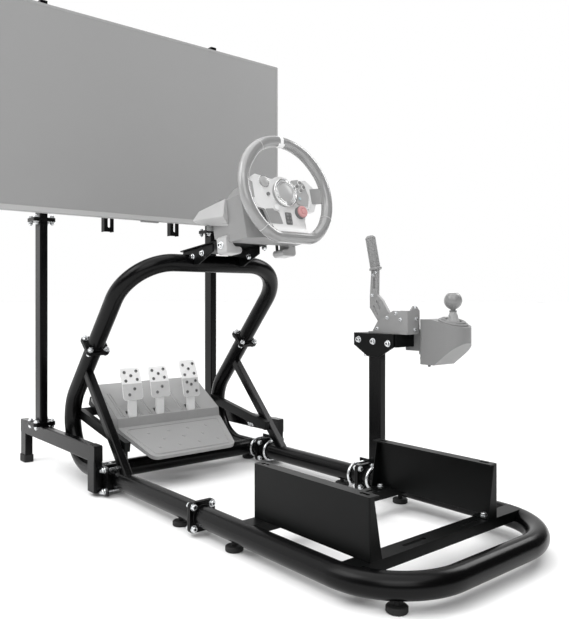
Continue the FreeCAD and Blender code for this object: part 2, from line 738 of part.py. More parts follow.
def wheel_base(spot):
    """Housing of the wheel base, cut flat where it stands on the deck, with two side wings."""
    front = -SPOKE_DISH - SPOKE_T - HUB_L - BASE_GAP
    unit = BASE_HALF
    low = -1.16 * unit
    rings = []
    sections = (
        (0.0, 0.62, 0.13, 0.36), (0.13, 0.93, 0.07, 0.39), (0.47, 1.0, 0.07, 0.37), (1.0, 0.90, -0.09, 0.18),
    )
    for run, wide, shoulder, top in sections:
        z = front - run * BASE_RUN
        half = ((wide, low / unit), (wide, shoulder), (0.72 * wide, top))
        points = list(half) + [(-x, y) for x, y in reversed(half)]
        corners = [Vector(x * unit, y * unit, z) for x, y in points]
        rings.append(Part.makePolygon(corners + corners[:1]))
    solids = [Part.makeLoft(rings, True, True)]
    wing = ((0.45, 0.10), (1.18, 0.18), (1.28, -0.04), (0.48, -0.49))
    outline = [Vector(0.55 * unit, y * unit, front - run * BASE_RUN) for run, y in wing]
    right = prism(outline, X_AXIS * (0.49 * unit))
    solids += [right, mirrored(right)]
    depth = 1.5 * HUB_R
    bore = Part.makeCylinder(SHAFT_R + SHAFT_FIT, depth, Vector(0, 0, front - depth))
    body = placed(fused(solids).cut(bore), spot)
    wide = 3 * unit
    lip = -DECK_RUN - DECK_T
    under = placed(box(-wide, wide, lip, DECK_RUN, -DECK_RUN, DECK_T), deck_spot())
    chin = placed(box(-wide, wide, -3 * DECK_RUN, lip, -DECK_RUN, -BASE_CHIN), deck_spot())
    return {"wheel_base": trimmed(body, [under, chin])}


def wheel_clamps():
    """Legs of the wheel base beside the deck, each with a jaw and a screw pad under it."""
    clamps = []
    s0 = -DECK_RUN - DECK_T
    s1 = s0 + CLAMP_LEG_D
    low = -CLAMP_DROP
    jaw = low + CLAMP_JAW
    for side in SIDES.values():
        inner = side * (DECK_HALF + BAR_WALL)
        outer = side * (DECK_HALF + BAR_WALL + CLAMP_LEG)
        tip = side * (DECK_HALF - CLAMP_LEG)
        leg = box(inner, outer, s0, s1, low, DECK_T)
        foot = box(tip, outer, s0, s1, low, jaw)
        screw = Vector(side * (DECK_HALF - CLAMP_LEG / 2), s1 - CLAMP_PAD_R, jaw)
        pad = Part.makeCylinder(CLAMP_PAD_R, -jaw, screw)
        clamps.append(placed(fused([leg, foot, pad]), deck_spot()))
    return {"wheel_clamps": Part.makeCompound(clamps)}


def pedal_deck(spot, frame):
    """Sloped deck of folded sheet, on ears from the cross tube and a bar between the uprights."""
    half = TRAY_HALF - PEDAL_DECK_INSET
    inner = half - BAR_WALL
    heel = PEDAL_DECK_HEEL
    low = -PEDAL_DECK_LIP
    sheet = box(PEDAL_X - half, PEDAL_X + half, heel, PEDAL_DECK_RUN, low, 0)
    sheet = sheet.cut(box(PEDAL_X - inner, PEDAL_X + inner, heel, PEDAL_DECK_RUN, low, -BAR_WALL))
    tilt = math.radians(PEDAL_TILT)
    slope = math.tan(tilt)
    y0 = CROSS_TUBE_Y - PEDAL_EAR / 2
    y1 = CROSS_TUBE_Y + PEDAL_EAR / 2
    under = PEDAL_Z - BAR_WALL / math.cos(tilt)
    outline = [
        (y0, TUBE_Z), (y1, TUBE_Z),
        (y1, under + slope * (y1 - PEDAL_Y)), (y0, under + slope * (y0 - PEDAL_Y)),
    ]
    brackets = []
    for side in SIDES.values():
        ear = side_plate(outline, PEDAL_X + side * inner, PEDAL_X + side * (inner - EAR_T))
        brackets.append(trimmed(ear, [frame["cross_tube"]]))
    bar_s = PEDAL_DECK_RUN - 1.4 * PEDAL_TAB
    bar = box(-HALF, HALF, bar_s, bar_s + PEDAL_TAB, low - FLANGE_T, low)
    brackets.append(trimmed(placed(bar, spot), [frame["lower_uprights"]]))
    return {"pedal_deck": placed(sheet, spot), "pedal_brackets": Part.makeCompound(brackets)}


def pedal_tray(spot):
    """Moulded pedal housing: a heel plate that steps up to a body slotted for the arms."""
    side_line = (
        (0, 0), (0, 0.17), (0.425, 0.28), (0.46, 0.66), (0.82, 1.0), (0.94, 1.0), (1.0, 0.62), (1.0, 0),
    )
    outline = [Vector(PEDAL_X - TRAY_HALF, s * TRAY_RUN, n * TRAY_H) for s, n in side_line]
    body = prism(outline, X_AXIS * (2 * TRAY_HALF))
    plan = ((0.79, 0), (1.0, 0.40), (1.0, 1.0))
    points = list(plan) + [(-x, s) for x, s in reversed(plan)]
    corners = [Vector(PEDAL_X + x * TRAY_HALF, s * TRAY_RUN, 0) for x, s in points]
    body = body.common(rounded(prism(corners, Z_AXIS * (2 * TRAY_H)), TRAY_CORNER, Z_AXIS))
    half = PEDAL_SLOT / 2
    seat = X_AXIS * (half + 1.6 * PEDAL_PIN_R)
    lean = math.tan(math.radians(PEDAL_TILT + PEDAL_PRESS))
    cutters = []
    for row in PEDALS:
        pivot = Vector(PEDAL_X + row[1] * TRAY_HALF, PIVOT_S, PIVOT_N)
        near = PIVOT_S - PEDAL_SLOT / 3
        far = PIVOT_S + lean * (TRAY_H - PIVOT_N) + PEDAL_ARM_T + 2 * PEDAL_PIN_R
        cutters.append(box(pivot.x - half, pivot.x + half, near, far, PEDAL_FLOOR, 2 * TRAY_H))
        cutters.append(rod(pivot - seat, pivot + seat, PEDAL_PIN_R + SHAFT_FIT))
    return {"pedal_tray": placed(body.cut(cutters), spot)}


def pedal(row, spot):
    """One pedal: an upright arm on its pin and a leaning pad folded at mid length."""
    name, place, width, foot, length = row
    x = PEDAL_X + place * TRAY_HALF
    wide = width * TRAY_HALF
    low = foot * TRAY_RUN
    run = length * TRAY_RUN / 2
    slope = math.tan(math.radians(PEDAL_TILT))
    rise = math.radians(PAD_LEAN)
    fold = math.radians(PAD_LEAN + PAD_FOLD)
    front = PIVOT_S + slope * (low - PIVOT_N) - PEDAL_ARM_T / 2 - 1.5 * PAD_T
    line = [Vector(x, front, low)]
    line.append(line[0] + Vector(0, math.sin(rise), math.cos(rise)) * run)
    line.append(line[1] + Vector(0, math.sin(fold), math.cos(fold)) * run)
    thick = Y_AXIS * PAD_T
    back = [point + thick for point in line]
    aside = X_AXIS * wide
    sheet = prism([point - aside for point in line + back[::-1]], aside * 2)
    frame = box(x - wide, x + wide, line[0].y, back[2].y, line[0].z, line[2].z)
    pad = sheet.common(rounded(frame, PAD_CORNER, Y_AXIS))
    pivot = Vector(x, PIVOT_S, PIVOT_N)
    up = Vector(0, slope, 1).normalize()
    half = Vector(0, up.z, -up.y) * (PEDAL_ARM_T / 2)
    start = pivot - up * PEDAL_PIN_R
    end = pivot + up * (line[2].z - PIVOT_N)
    flank = X_AXIS * (PEDAL_ARM / 2)
    corners = [start - half, start + half, end + half, end - half]
    arm = prism([corner - flank for corner in corners], flank * 2)
    away = Y_AXIS * -TRAY_RUN
    ahead = [back[0] - Z_AXIS * PAD_T, back[0], back[1], back[2], back[2] + Z_AXIS * low]
    ahead += [ahead[-1] + away, ahead[0] + away]
    arm = trimmed(arm, [prism([point - aside for point in ahead], aside * 2)])
    reach = X_AXIS * (PEDAL_SLOT / 2 + 1.4 * PEDAL_PIN_R)
    pin = rod(pivot - reach, pivot + reach, PEDAL_PIN_R)
    return {name + "_arm": placed(fused([arm, pin]), spot), name + "_pad": placed(pad, spot)}


def pedal_set(frame):
    """Pedal deck with its brackets, the pedal tray and three pedals."""
    spot = local(Vector(0, PEDAL_Y, PEDAL_Z), PEDAL_TILT)
    pieces = pedal_deck(spot, frame)
    pieces.update(pedal_tray(spot))
    for row in PEDALS:
        pieces.update(pedal(row, spot))
    return pieces


def side_post():
    """Post, clamp, gusset and tray that carry the hand controls."""
    y0 = REAR_JOINT_Y - BOX_D / 2
    y1 = REAR_JOINT_Y + BOX_D / 2
    x0 = BOX_X - BOX_W / 2
    top = SIDE_TRAY_Z
    low = top - SIDE_TRAY_H
    post = clamped(box_tube(BOX_X, y0, y1, FOOT_PAD_H, SIDE_POST_TOP), 1, REAR_JOINT_Y)
    edge = BAR_WALL * 2
    tip0 = SIDE_TRAY_Y0 + edge
    tip1 = SIDE_TRAY_Y1 - edge
    foot = low - GUSSET_DROP
    outline = [(tip0, top), (tip1, top), (tip1, low), (y1, foot), (y0, foot), (tip0, low)]
    wall = BAR_WALL
    outer = box(x0, SIDE_TRAY_X1, SIDE_TRAY_Y0, SIDE_TRAY_Y1, low, top)
    outer = rounded(outer, SIDE_TRAY_CORNER, Z_AXIS, lambda point: point.x > BOX_X)
    inner = box(x0 + wall, SIDE_TRAY_X1 - wall, SIDE_TRAY_Y0 + wall, SIDE_TRAY_Y1 - wall, low, top - wall)
    inner = rounded(inner, SIDE_TRAY_CORNER - wall, Z_AXIS, lambda point: point.x > BOX_X)
    return {
        "side_post": post,
        "side_gusset": side_plate(outline, x0 - GUSSET_T, x0),
        "side_tray": trimmed(outer.cut(inner), [post]),
    }


def clamp_rods():
    """All bent rods of the post clamps."""
    rods = u_bolts(1, REAR_JOINT_Y)
    for side in SIDES.values():
        rods += u_bolts(side, STAND_LEG_Y)
    return {"u_bolts": Part.makeCompound(rods)}


def hand_brake():
    """Hand brake: a foot with two cheeks and an end plate, a cranked slotted lever and a grip."""
    z0 = SIDE_TRAY_Z
    pin = Vector(BRAKE_X, BRAKE_Y, BRAKE_Z)
    wall = BRAKE_CHEEK_T
    back = BRAKE_Y - 0.60 * BRAKE_FOOT
    left = BRAKE_X - BRAKE_FOOT_HALF
    foot = box(left, left + 2 * BRAKE_FOOT_HALF, back, back + BRAKE_FOOT, z0, z0 + wall)
    cheek = ((0.35, 0), (0.18, 0.54), (-0.22, 1.0), (-0.60, 1.0), (-0.60, 0))
    outline = [(BRAKE_Y + a * BRAKE_FOOT, z0 + b * BRAKE_CHEEK) for a, b in cheek]
    inner = BRAKE_CHEEK_GAP / 2
    outer = inner + wall
    solids = [foot]
    for side in SIDES.values():
        solids.append(side_plate(outline, BRAKE_X + side * inner, BRAKE_X + side * outer))
    x0 = BRAKE_X - outer
    top_z = z0 + BRAKE_CHEEK
    tip_z = top_z + BRAKE_PEAK
    line = ((0, z0), (1, z0), (1, top_z), (0.75, tip_z), (0.5, tip_z), (0.25, top_z), (0, top_z))
    end = [Vector(x0 + part * BRAKE_END, back, z) for part, z in line]
    solids.append(prism(end, Y_AXIS * wall))
    bore = rod(pin - X_AXIS * outer, pin + X_AXIS * outer, BRAKE_PIN_R + SHAFT_FIT)
    unit = BRAKE_LEVER
    half = BRAKE_BLADE / 2
    blade_line = (
        (-0.06, 0), (0.0, -0.06), (0.16, -0.04), (0.29, 0.12), (0.29, 0.26), (0.265, 0.60),
        (0.165, 0.60), (0.17, 0.28), (0.09, 0.21),
    )
    outline = [(pin.y + a * unit, pin.z + b * unit) for a, b in blade_line]
    blade = side_plate(outline, BRAKE_X - BRAKE_BLADE_T / 2, BRAKE_X + BRAKE_BLADE_T / 2)
    through = X_AXIS * (2 * BRAKE_BLADE_T)
    slots = []
    for a, b in ((0.15, 0.15), (0.20, 0.09)):
        middle = pin + Vector(0, a, b) * unit
        slots.append(slot_cutter(middle, Vector(0, 0.05, 0.09) * unit, half / 4, through))
    middle = pin + Vector(0, 0.22, 0.42) * unit
    slots.append(slot_cutter(middle, Vector(0, 0, 0.12) * unit, half / 3, through))
    reach = X_AXIS * outer
    lever = fused([blade.cut(slots), rod(pin - reach, pin + reach, BRAKE_PIN_R)])
    neck = pin + Vector(0, 0.215, 0.60) * unit
    tip = pin + Vector(0, 0.305, 1.0) * unit
    grip = rod(neck, tip, GRIP_R)
    grip = grip.makeFillet(GRIP_END, [edge for edge in grip.Edges if len(edge.Vertexes) == 1])
    return {
        "hand_brake_base": fused(solids).cut(bore),
        "hand_brake_lever": lever,
        "hand_brake_grip": trimmed(grip, [blade]),
    }


def gear_top(y):
    """Height of the housing's sloped top above a place along it."""
    return GEAR_Z1 - GEAR_H * 0.24 * (0.30 * GEAR_D + GEAR_Y - y) / GEAR_D


def gear_housing():
    """Moulded shifter housing: round nose, sloped top, bevelled foot and jaws on the tray."""
    low = GEAR_Z1 - GEAR_H
    rear = GEAR_Y - 0.37 * GEAR_D
    front = rear + GEAR_D
    brow = GEAR_Y + 0.30 * GEAR_D
    side_line = [
        (front, low), (front, GEAR_Z1), (brow, GEAR_Z1), (rear, gear_top(rear)),
        (rear, low + 0.50 * GEAR_H), (rear + 0.60 * GEAR_D, low),
    ]
    half = GEAR_W / 2
    block = side_plate(side_line, GEAR_X - half, GEAR_X + half)
    plan = box(GEAR_X - half, GEAR_X + half, rear, front, low, GEAR_Z1)
    plan = rounded(plan, GEAR_NOSE_R, Z_AXIS, lambda point: point.y < GEAR_Y)
    plan = rounded(plan, GEAR_CORNER, Z_AXIS, lambda point: point.y > brow)
    block = block.common(plan)
    x0 = GEAR_X - 0.31 * GEAR_W
    x1 = x0 + GEAR_JAW
    tray_low = SIDE_TRAY_Z - SIDE_TRAY_H
    tip = SIDE_TRAY_Y0 + GEAR_JAW_BITE
    jaws = [
        box(x0, x1, brow, tip, SIDE_TRAY_Z, SIDE_TRAY_Z + GEAR_JAW_T),
        box(x0, x1, brow, tip, tray_low - GEAR_JAW_T, tray_low),
        box(x0, x1, brow, SIDE_TRAY_Y0, tray_low, SIDE_TRAY_Z),
    ]
    return fused([block] + jaws), block


def gear_boot(block):
    """Boot of the lever: a plate on the sloped top and a slim cone round the lever."""
    seat = Vector(GEAR_X, GEAR_Y, gear_top(GEAR_Y))
    slope = GEAR_H * 0.24 / GEAR_D
    normal = Vector(0, -slope, 1).normalize()
    plate = Part.makeCylinder(WELL_R + BOOT_LIP, BOOT_PLATE, seat, normal)
    base = Vector(GEAR_X, GEAR_Y, GEAR_PIVOT_Z)
    rise = KNOB_Z - KNOB_R - 2 * BOOT_SKIN - GEAR_PIVOT_Z
    foot = BOOT_FOOT + BOOT_SKIN
    neck = STICK_R + BOOT_NECK
    outer = Part.makeCone(foot, neck, rise, base)
    inner = Part.makeCone(foot - BOOT_SKIN, neck - BOOT_SKIN, rise, base)
    return trimmed(fused([plate, outer]), [inner, block])


def gear_shift():
    """Gear shifter: housing on the tray's rear edge, tilting ring, lever, knob and boot."""
    housing, block = gear_housing()
    pivot = Vector(GEAR_X, GEAR_Y, GEAR_PIVOT_Z)
    well = Part.makeCylinder(WELL_R, 2 * WELL_DEPTH, Vector(GEAR_X, GEAR_Y, GEAR_Z1 - WELL_DEPTH))
    reach = X_AXIS * (WELL_R + 2.6 * RING_PIN_R)
    stub = X_AXIS * (WELL_R + 2 * RING_PIN_R)
    housing = housing.cut([well, rod(pivot - reach, pivot + reach, RING_PIN_R + SHAFT_FIT)])
    half = RING_HALF
    corner = pivot - Vector(half, half, RING_WALL)
    ring = Part.makeBox(2 * half, 2 * half, 2 * RING_WALL, corner)
    inner = 2 * (half - RING_WALL)
    hole = Part.makeBox(inner, inner, 2 * RING_WALL, corner + Vector(RING_WALL, RING_WALL, 0))
    rim = X_AXIS * (half - RING_PIN_R)
    stubs = [rod(pivot + rim * side, pivot + stub * side, RING_PIN_R) for side in SIDES.values()]
    across = Y_AXIS * half
    cross = rod(pivot - across, pivot + across, RING_PIN_R + SHAFT_FIT)
    pin = rod(pivot - across * 0.95, pivot + across * 0.95, RING_PIN_R)
    middle = Vector(GEAR_X, GEAR_Y, KNOB_Z)
    stick = rod(pivot - Z_AXIS * (2 * RING_PIN_R), middle - Z_AXIS * (KNOB_R / 2), STICK_R)
    return {
        "gear_housing": housing,
        "gear_ring": fused([ring] + stubs).cut([hole, cross]),
        "gear_lever": fused([stick, pin]),
        "gear_knob": Part.makeSphere(KNOB_R, middle).cut(stick),
        "gear_boot": gear_boot(block),
    }


def build():
    """All pieces by name, in the modelling axes."""
    pieces = base_frame()
    pieces.update(base_feet(pieces))
    pieces.update(seat_supports(pieces))
    pieces.update(screen_stand())
    pieces.update(screen())
    pieces.update(wheel_deck(pieces))
    wheel_spot = local(Vector(0, WHEEL_Y, WHEEL_Z), -WHEEL_TILT, True)
    pieces.update(steering(wheel_spot))
    pieces.update(wheel_base(wheel_spot))
    pieces.update(wheel_clamps())
    pieces.update(pedal_set(pieces))
    pieces.update(side_post())
    pieces.update(clamp_rods())
    pieces.update(hand_brake())
    pieces.update(gear_shift())
    return pieces


def main():
    """Write one file per piece."""
    os.makedirs("parts", exist_ok=True)
    for name, shape in build().items():
        moved = shape.copy()
        moved.translate(SHIFT)
        moved.exportStep(os.path.join("parts", name + ".step"))


main()
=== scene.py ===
"""Looks of a sim racing cockpit: finishes, fasteners, trim and studio round its fixed frame."""

import json
import logging
import math
from collections.abc import Callable, Iterable, Sequence
from dataclasses import dataclass, field, replace
from enum import Enum
from itertools import pairwise, product

import bmesh
import bpy
from mathutils import Matrix, Vector
from mathutils.bvhtree import BVHTree

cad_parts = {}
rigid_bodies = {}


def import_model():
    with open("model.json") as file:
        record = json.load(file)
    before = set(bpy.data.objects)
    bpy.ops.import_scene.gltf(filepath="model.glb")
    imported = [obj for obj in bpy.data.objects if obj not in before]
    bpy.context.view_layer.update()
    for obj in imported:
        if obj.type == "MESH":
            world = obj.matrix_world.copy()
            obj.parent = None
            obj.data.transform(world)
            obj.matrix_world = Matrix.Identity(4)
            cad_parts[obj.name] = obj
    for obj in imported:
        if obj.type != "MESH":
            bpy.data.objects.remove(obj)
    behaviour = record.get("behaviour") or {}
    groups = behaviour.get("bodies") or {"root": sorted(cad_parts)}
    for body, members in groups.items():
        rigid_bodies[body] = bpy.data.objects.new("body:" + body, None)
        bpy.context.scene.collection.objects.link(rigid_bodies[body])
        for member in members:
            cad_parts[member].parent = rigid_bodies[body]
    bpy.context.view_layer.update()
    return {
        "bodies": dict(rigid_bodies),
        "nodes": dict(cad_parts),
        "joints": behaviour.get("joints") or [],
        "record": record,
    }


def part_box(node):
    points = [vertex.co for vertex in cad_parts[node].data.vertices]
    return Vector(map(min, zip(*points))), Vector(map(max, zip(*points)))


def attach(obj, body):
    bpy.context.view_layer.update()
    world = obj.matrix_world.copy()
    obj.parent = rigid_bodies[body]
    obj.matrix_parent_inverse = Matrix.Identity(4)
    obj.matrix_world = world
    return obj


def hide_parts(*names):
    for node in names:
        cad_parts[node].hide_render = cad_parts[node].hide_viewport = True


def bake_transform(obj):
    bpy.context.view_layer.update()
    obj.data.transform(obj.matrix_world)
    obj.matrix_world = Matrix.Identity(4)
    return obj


LOG = logging.getLogger("cockpit")
MM = 0.001
FRAME_BODY = "cockpit_frame"
SIDES = (-1, 1)
SMOOTH_DEG = 35.0
FLAT_DEG = 0.6
WELD_MM = 0.02
POLE_MM = 1e-6
X_AXIS = Vector((1.0, 0.0, 0.0))
Y_AXIS = Vector((0.0, 1.0, 0.0))
Z_AXIS = Vector((0.0, 0.0, 1.0))

BMesh = bmesh.types.BMesh
Mesh = bpy.types.Mesh
Piece = bpy.types.Object
Tree = bpy.types.NodeTree
Point2 = tuple[float, float]
Point3 = tuple[float, float, float]
Profile = tuple[Point2, ...]
Fastening = tuple[Vector, Vector, float]
Paint = Callable[[Vector], int]


class Slot(Enum):
    """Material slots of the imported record."""

    BLACK = "black_coated_steel"
    RUBBER = "foot_rubber"
    ZINC = "zinc_steel"
    GLASS = "screen_glass"
    SCREEN = "screen_plastic"
    LEATHER = "grey_leather"
    METAL = "light_metal"
    PLASTIC = "grey_plastic"


class Grain(Enum):
    """Relief of a surface, by how it was made."""

    PEEL = "flowed powder"
    MOULDED = "etched mould"
    HIDE = "pebbled hide"
    BRUSHED = "drawn lines"
    SMOOTH = "plated or polished"


class Form(Enum):
    """Small form that a grid repeats."""

    DOME = "dome"
    SLOT = "slot"


class LampKind(Enum):
    """Kind of studio light."""

    SUN = "SUN"
    AREA = "AREA"


def linear(hex_colour: str) -> tuple[float, float, float, float]:
    """Turn an sRGB hex colour into linear RGBA.

    Args:
        hex_colour: colour as #rrggbb.

    Returns:
        Linear red, green, blue and an alpha of one.
    """
    parts = [int(hex_colour[i:i + 2], 16) / 255 for i in (1, 3, 5)]
    red, green, blue = [p / 12.92 if p <= 0.04045 else ((p + 0.055) / 1.055) ** 2.4 for p in parts]
    return red, green, blue, 1.0


def add_node(tree: Tree, kind: str, inputs: dict | None = None, **settings) -> bpy.types.Node:
    """Add a node with its settings, values and links.

    Args:
        tree: shader or geometry tree that gets the node.
        kind: the node's type name.
        inputs: value or source socket for each input, by name or number.
        settings: the node's own properties.

    Returns:
        The new node.
    """
    made = tree.nodes.new(kind)
    for name, value in settings.items():
        setattr(made, name, value)
    for key, value in (inputs or {}).items():
        if isinstance(value, bpy.types.NodeSocket):
            tree.links.new(value, made.inputs[key])
        else:
            made.inputs[key].default_value = value
    return made


@dataclass(frozen=True)
class Finish:
    """Surface finish: colour with a slow drift, gloss with a spread, and a fine relief.

    Sizes are in millimetres. The relief of most finishes is drawn a little coarser than the real
    one, because real paint and mould grain is far below a pixel at this distance.
    """

    name: str
    grain: Grain
    colour: str
    drift: str
    roughness: float
    spread: float = 0.05
    grain_mm: float = 1.0
    depth_mm: float = 0.04
    drift_mm: float = 90.0
    stretch: Point3 = (1.0, 1.0, 1.0)
    metallic: float = 0.0
    ior: float = 1.5
    specular: float = 0.5
    coat: float = 0.0
    coat_roughness: float = 0.1
    sheen: float = 0.0
    gloss_part: float = 0.4
    drift_detail: float = 3.0
    gloss_detail: float = 4.0
    mould_detail: float = 5.0
    plain_detail: float = 1.5
    hide_edge: float = 0.35

    def material(self) -> bpy.types.Material:
        """Return the finish's material, made on first use."""
        return bpy.data.materials.get(self.name) or self._make()

    def _make(self) -> bpy.types.Material:
        """Build the node tree of the finish."""
        made = bpy.data.materials.new(self.name)
        made.use_nodes = True
        tree = made.node_tree
        tree.nodes.clear()
        place = add_node(tree, "ShaderNodeTexCoord").outputs["Object"]
        wide = 1 / (self.drift_mm * MM)
        drift = add_node(tree, "ShaderNodeTexNoise", {
            "Vector": place, "Scale": wide, "Detail": self.drift_detail,
        })
        colour = add_node(tree, "ShaderNodeMix", {
            "Factor": drift.outputs["Fac"], 6: linear(self.colour), 7: linear(self.drift),
        }, data_type="RGBA")
        gloss = add_node(tree, "ShaderNodeTexNoise", {
            "Vector": place, "Scale": wide / self.gloss_part, "Detail": self.gloss_detail,
        })
        rough = add_node(tree, "ShaderNodeMapRange", {
            "Value": gloss.outputs["Fac"], 3: self.roughness - self.spread, 4: self.roughness + self.spread,
        })
        bump = add_node(tree, "ShaderNodeBump", {
            "Height": self._relief(tree, place), "Distance": self.depth_mm * MM,
        })
        shader = add_node(tree, "ShaderNodeBsdfPrincipled", {
            "Base Color": colour.outputs[2],
            "Roughness": rough.outputs["Result"],
            "Normal": bump.outputs["Normal"],
            "Metallic": self.metallic,
            "IOR": self.ior,
            "Specular IOR Level": self.specular,
            "Coat Weight": self.coat,
            "Coat Roughness": self.coat_roughness,
            "Sheen Weight": self.sheen,
        })
        add_node(tree, "ShaderNodeOutputMaterial", {"Surface": shader.outputs["BSDF"]})
        return made

    def _relief(self, tree: Tree, place: bpy.types.NodeSocket) -> bpy.types.NodeSocket:
        """Add the relief pattern.

        Args:
            tree: the material's tree.
            place: object coordinates.

        Returns:
            Socket with the height, from 0 to about 1.
        """
        scale = 1 / (self.grain_mm * MM)
        if self.grain is Grain.HIDE:
            cells = add_node(tree, "ShaderNodeTexVoronoi", {"Vector": place, "Scale": scale},
                             feature="DISTANCE_TO_EDGE")
            edge = add_node(tree, "ShaderNodeMapRange", {
                "Value": cells.outputs["Distance"], 2: self.hide_edge,
            })
            return edge.outputs["Result"]
        if self.grain is Grain.BRUSHED:
            drawn = add_node(tree, "ShaderNodeMapping", {"Vector": place, "Scale": self.stretch})
            place = drawn.outputs["Vector"]
        detail = self.mould_detail if self.grain is Grain.MOULDED else self.plain_detail
        noise = add_node(tree, "ShaderNodeTexNoise", {"Vector": place, "Scale": scale, "Detail": detail})
        return noise.outputs["Fac"]


# Powder coat flows before it sets: satin black with a faint orange peel and a soft broad highlight.
POWDER_BLACK = Finish("satin_black_powder_coat", Grain.PEEL, "#040405", "#070707", roughness=0.25,
                      spread=0.04, grain_mm=1.6, depth_mm=0.03, specular=0.16)
# Sheet parts are sprayed thinner, so they read a little flatter and greyer than the tubes.
POWDER_SHEET = Finish("matt_black_powder_coat", Grain.PEEL, "#060707", "#0a0b0b", roughness=0.38,
                      grain_mm=1.3, specular=0.13)
# Pressed black rubber: dull, with a fine dust bloom.
FOOT_RUBBER = Finish("moulded_black_rubber", Grain.MOULDED, "#0e0e0e", "#191919", roughness=0.78,
                     spread=0.08, depth_mm=0.08)
# Bright zinc plate on steel: mirror-like with a cloudy passivated film.
ZINC_PLATE = Finish("bright_zinc_plated_steel", Grain.SMOOTH, "#f0f1f2", "#dcdfe1", roughness=0.26,
                    spread=0.07, grain_mm=3.0, depth_mm=0.01, drift_mm=14.0, metallic=0.9)
# Painted shade: the sunk hex of a screw head is drawn as a dark disc on its crown, in place of the shadow in
# the recess.
RECESS_SHADE = Finish("oiled_dark_steel", Grain.SMOOTH, "#141515", "#1c1d1d", roughness=0.45, grain_mm=2.0,
                     depth_mm=0.01, drift_mm=10.0)
# Matt-coated screen glass: an even grey field with a blurred reflection.
SCREEN_GLASS = Finish("matt_coated_screen_glass", Grain.SMOOTH, "#9c9c9c", "#989898", roughness=0.42,
                      spread=0.03, grain_mm=0.9, depth_mm=0.01, drift_mm=420.0, specular=0.2)
# Screen case: fine-grained grey ABS.
SCREEN_ABS = Finish("moulded_grey_abs_case", Grain.MOULDED, "#9b9b9b", "#a1a1a1", roughness=0.48,
                    grain_mm=0.9, depth_mm=0.05, drift_mm=120.0)
# Paler strip under the panel, painted and clear-coated.
SCREEN_STRIP = Finish("lacquered_silver_abs", Grain.SMOOTH, "#b6b6b6", "#bcbcbc", roughness=0.30,
                      spread=0.04, depth_mm=0.01, coat=0.3)
# Corrected cow hide round the wheel: pebbled and dressed to a gloss, darker in the creases.
RIM_HIDE = Finish("stitched_grey_hide", Grain.HIDE, "#8c8c8c", "#909090", roughness=0.20, spread=0.04,
                  grain_mm=1.4, depth_mm=0.02, drift_mm=60.0, coat=0.9, coat_roughness=0.10, sheen=0.05)
# Moulded grip of the hand brake: dull grey rubber.
GRIP_RUBBER = Finish("moulded_grey_rubber", Grain.MOULDED, "#8c8c8c", "#949494", roughness=0.62, spread=0.06,
                     depth_mm=0.06, drift_mm=30.0)
# Vinyl of the shifter boot is thinner and duller than the rim's hide.
BOOT_VINYL = Finish("folded_grey_vinyl", Grain.HIDE, "#9a9a9a", "#a5a5a5", roughness=0.48, spread=0.06,
                    grain_mm=1.3, depth_mm=0.06, drift_mm=20.0, sheen=0.15)
# Polyester thread: pale twisted strands.
THREAD = Finish("pale_polyester_thread", Grain.MOULDED, "#b9b9b9", "#c6c6c6", roughness=0.7, grain_mm=0.5,
                depth_mm=0.06, drift_mm=6.0, sheen=0.2)
# White painted band at the top of the rim.
RIM_BAND = Finish("white_hide_band", Grain.HIDE, "#f6f6f6", "#efefef", roughness=0.42, grain_mm=1.9,
                  depth_mm=0.06, drift_mm=20.0)
# Pedal plates above the fold: brushed aluminium painted white as painted light, for the half that tilts up to
# the lamps; drawn lines along x.
PEDAL_PAINTED_LIT = Finish("brushed_anodised_aluminium", Grain.BRUSHED, "#ffffff", "#f6f6f6", roughness=0.36,
                      spread=0.07, grain_mm=0.8, depth_mm=0.008, drift_mm=25.0, stretch=(0.03, 1.0, 1.0))
# Below the fold a pedal plate is painted grey as painted shade, for the half that faces away from the light.
PEDAL_PAINTED_SHADE = Finish("scuffed_aluminium", Grain.BRUSHED, "#c6c6c6", "#d2d2d2", roughness=0.48, spread=0.08,
                    grain_mm=0.8, depth_mm=0.01, drift_mm=12.0, stretch=(0.03, 1.0, 1.0), metallic=0.1)
# Pedal stems: bead-blasted aluminium.
PEDAL_STEM = Finish("blasted_aluminium", Grain.MOULDED, "#ededed", "#e0e0e0", roughness=0.46, spread=0.06,
                    grain_mm=0.7, depth_mm=0.02, drift_mm=20.0, metallic=0.1)
# Painted sheet of the hand brake: mid grey enamel.
PALE_ENAMEL = Finish("mid_grey_enamel", Grain.PEEL, "#8f8f8f", "#979797", roughness=0.44, spread=0.06,
                     grain_mm=1.4, depth_mm=0.03, drift_mm=40.0)
# Equipment housings: mid grey ABS from an etched mould.
GREY_ABS = Finish("moulded_grey_abs", Grain.MOULDED, "#808080", "#878787", roughness=0.44, drift_mm=60.0)
# Pedal tray and the wheel's outer arms: the same moulding in a paler batch.
TRAY_ABS = Finish("moulded_pale_grey_abs", Grain.MOULDED, "#959595", "#9b9b9b", roughness=0.46, grain_mm=1.1)
# Silver-painted ABS of the wheel's face plates.
SILVER_ABS = Finish("silver_painted_abs", Grain.SMOOTH, "#e4e4e4", "#ebebeb", roughness=0.30, depth_mm=0.02,
                    drift_mm=40.0, coat=0.25)
# Satin lacquer of the wings, clamps, hub and key panel: softer and greyer than the face plates.
SATIN_SILVER = Finish("satin_silver_lacquered_abs", Grain.SMOOTH, "#a9a9a9", "#b1b1b1", roughness=0.34,
                      depth_mm=0.02, drift_mm=50.0, coat=0.2, coat_roughness=0.25)
# Darker soft-touch ABS of key panels.
DARK_ABS = Finish("soft_touch_dark_abs", Grain.MOULDED, "#6f7070", "#787979", roughness=0.50, grain_mm=0.8,
                  drift_mm=25.0)
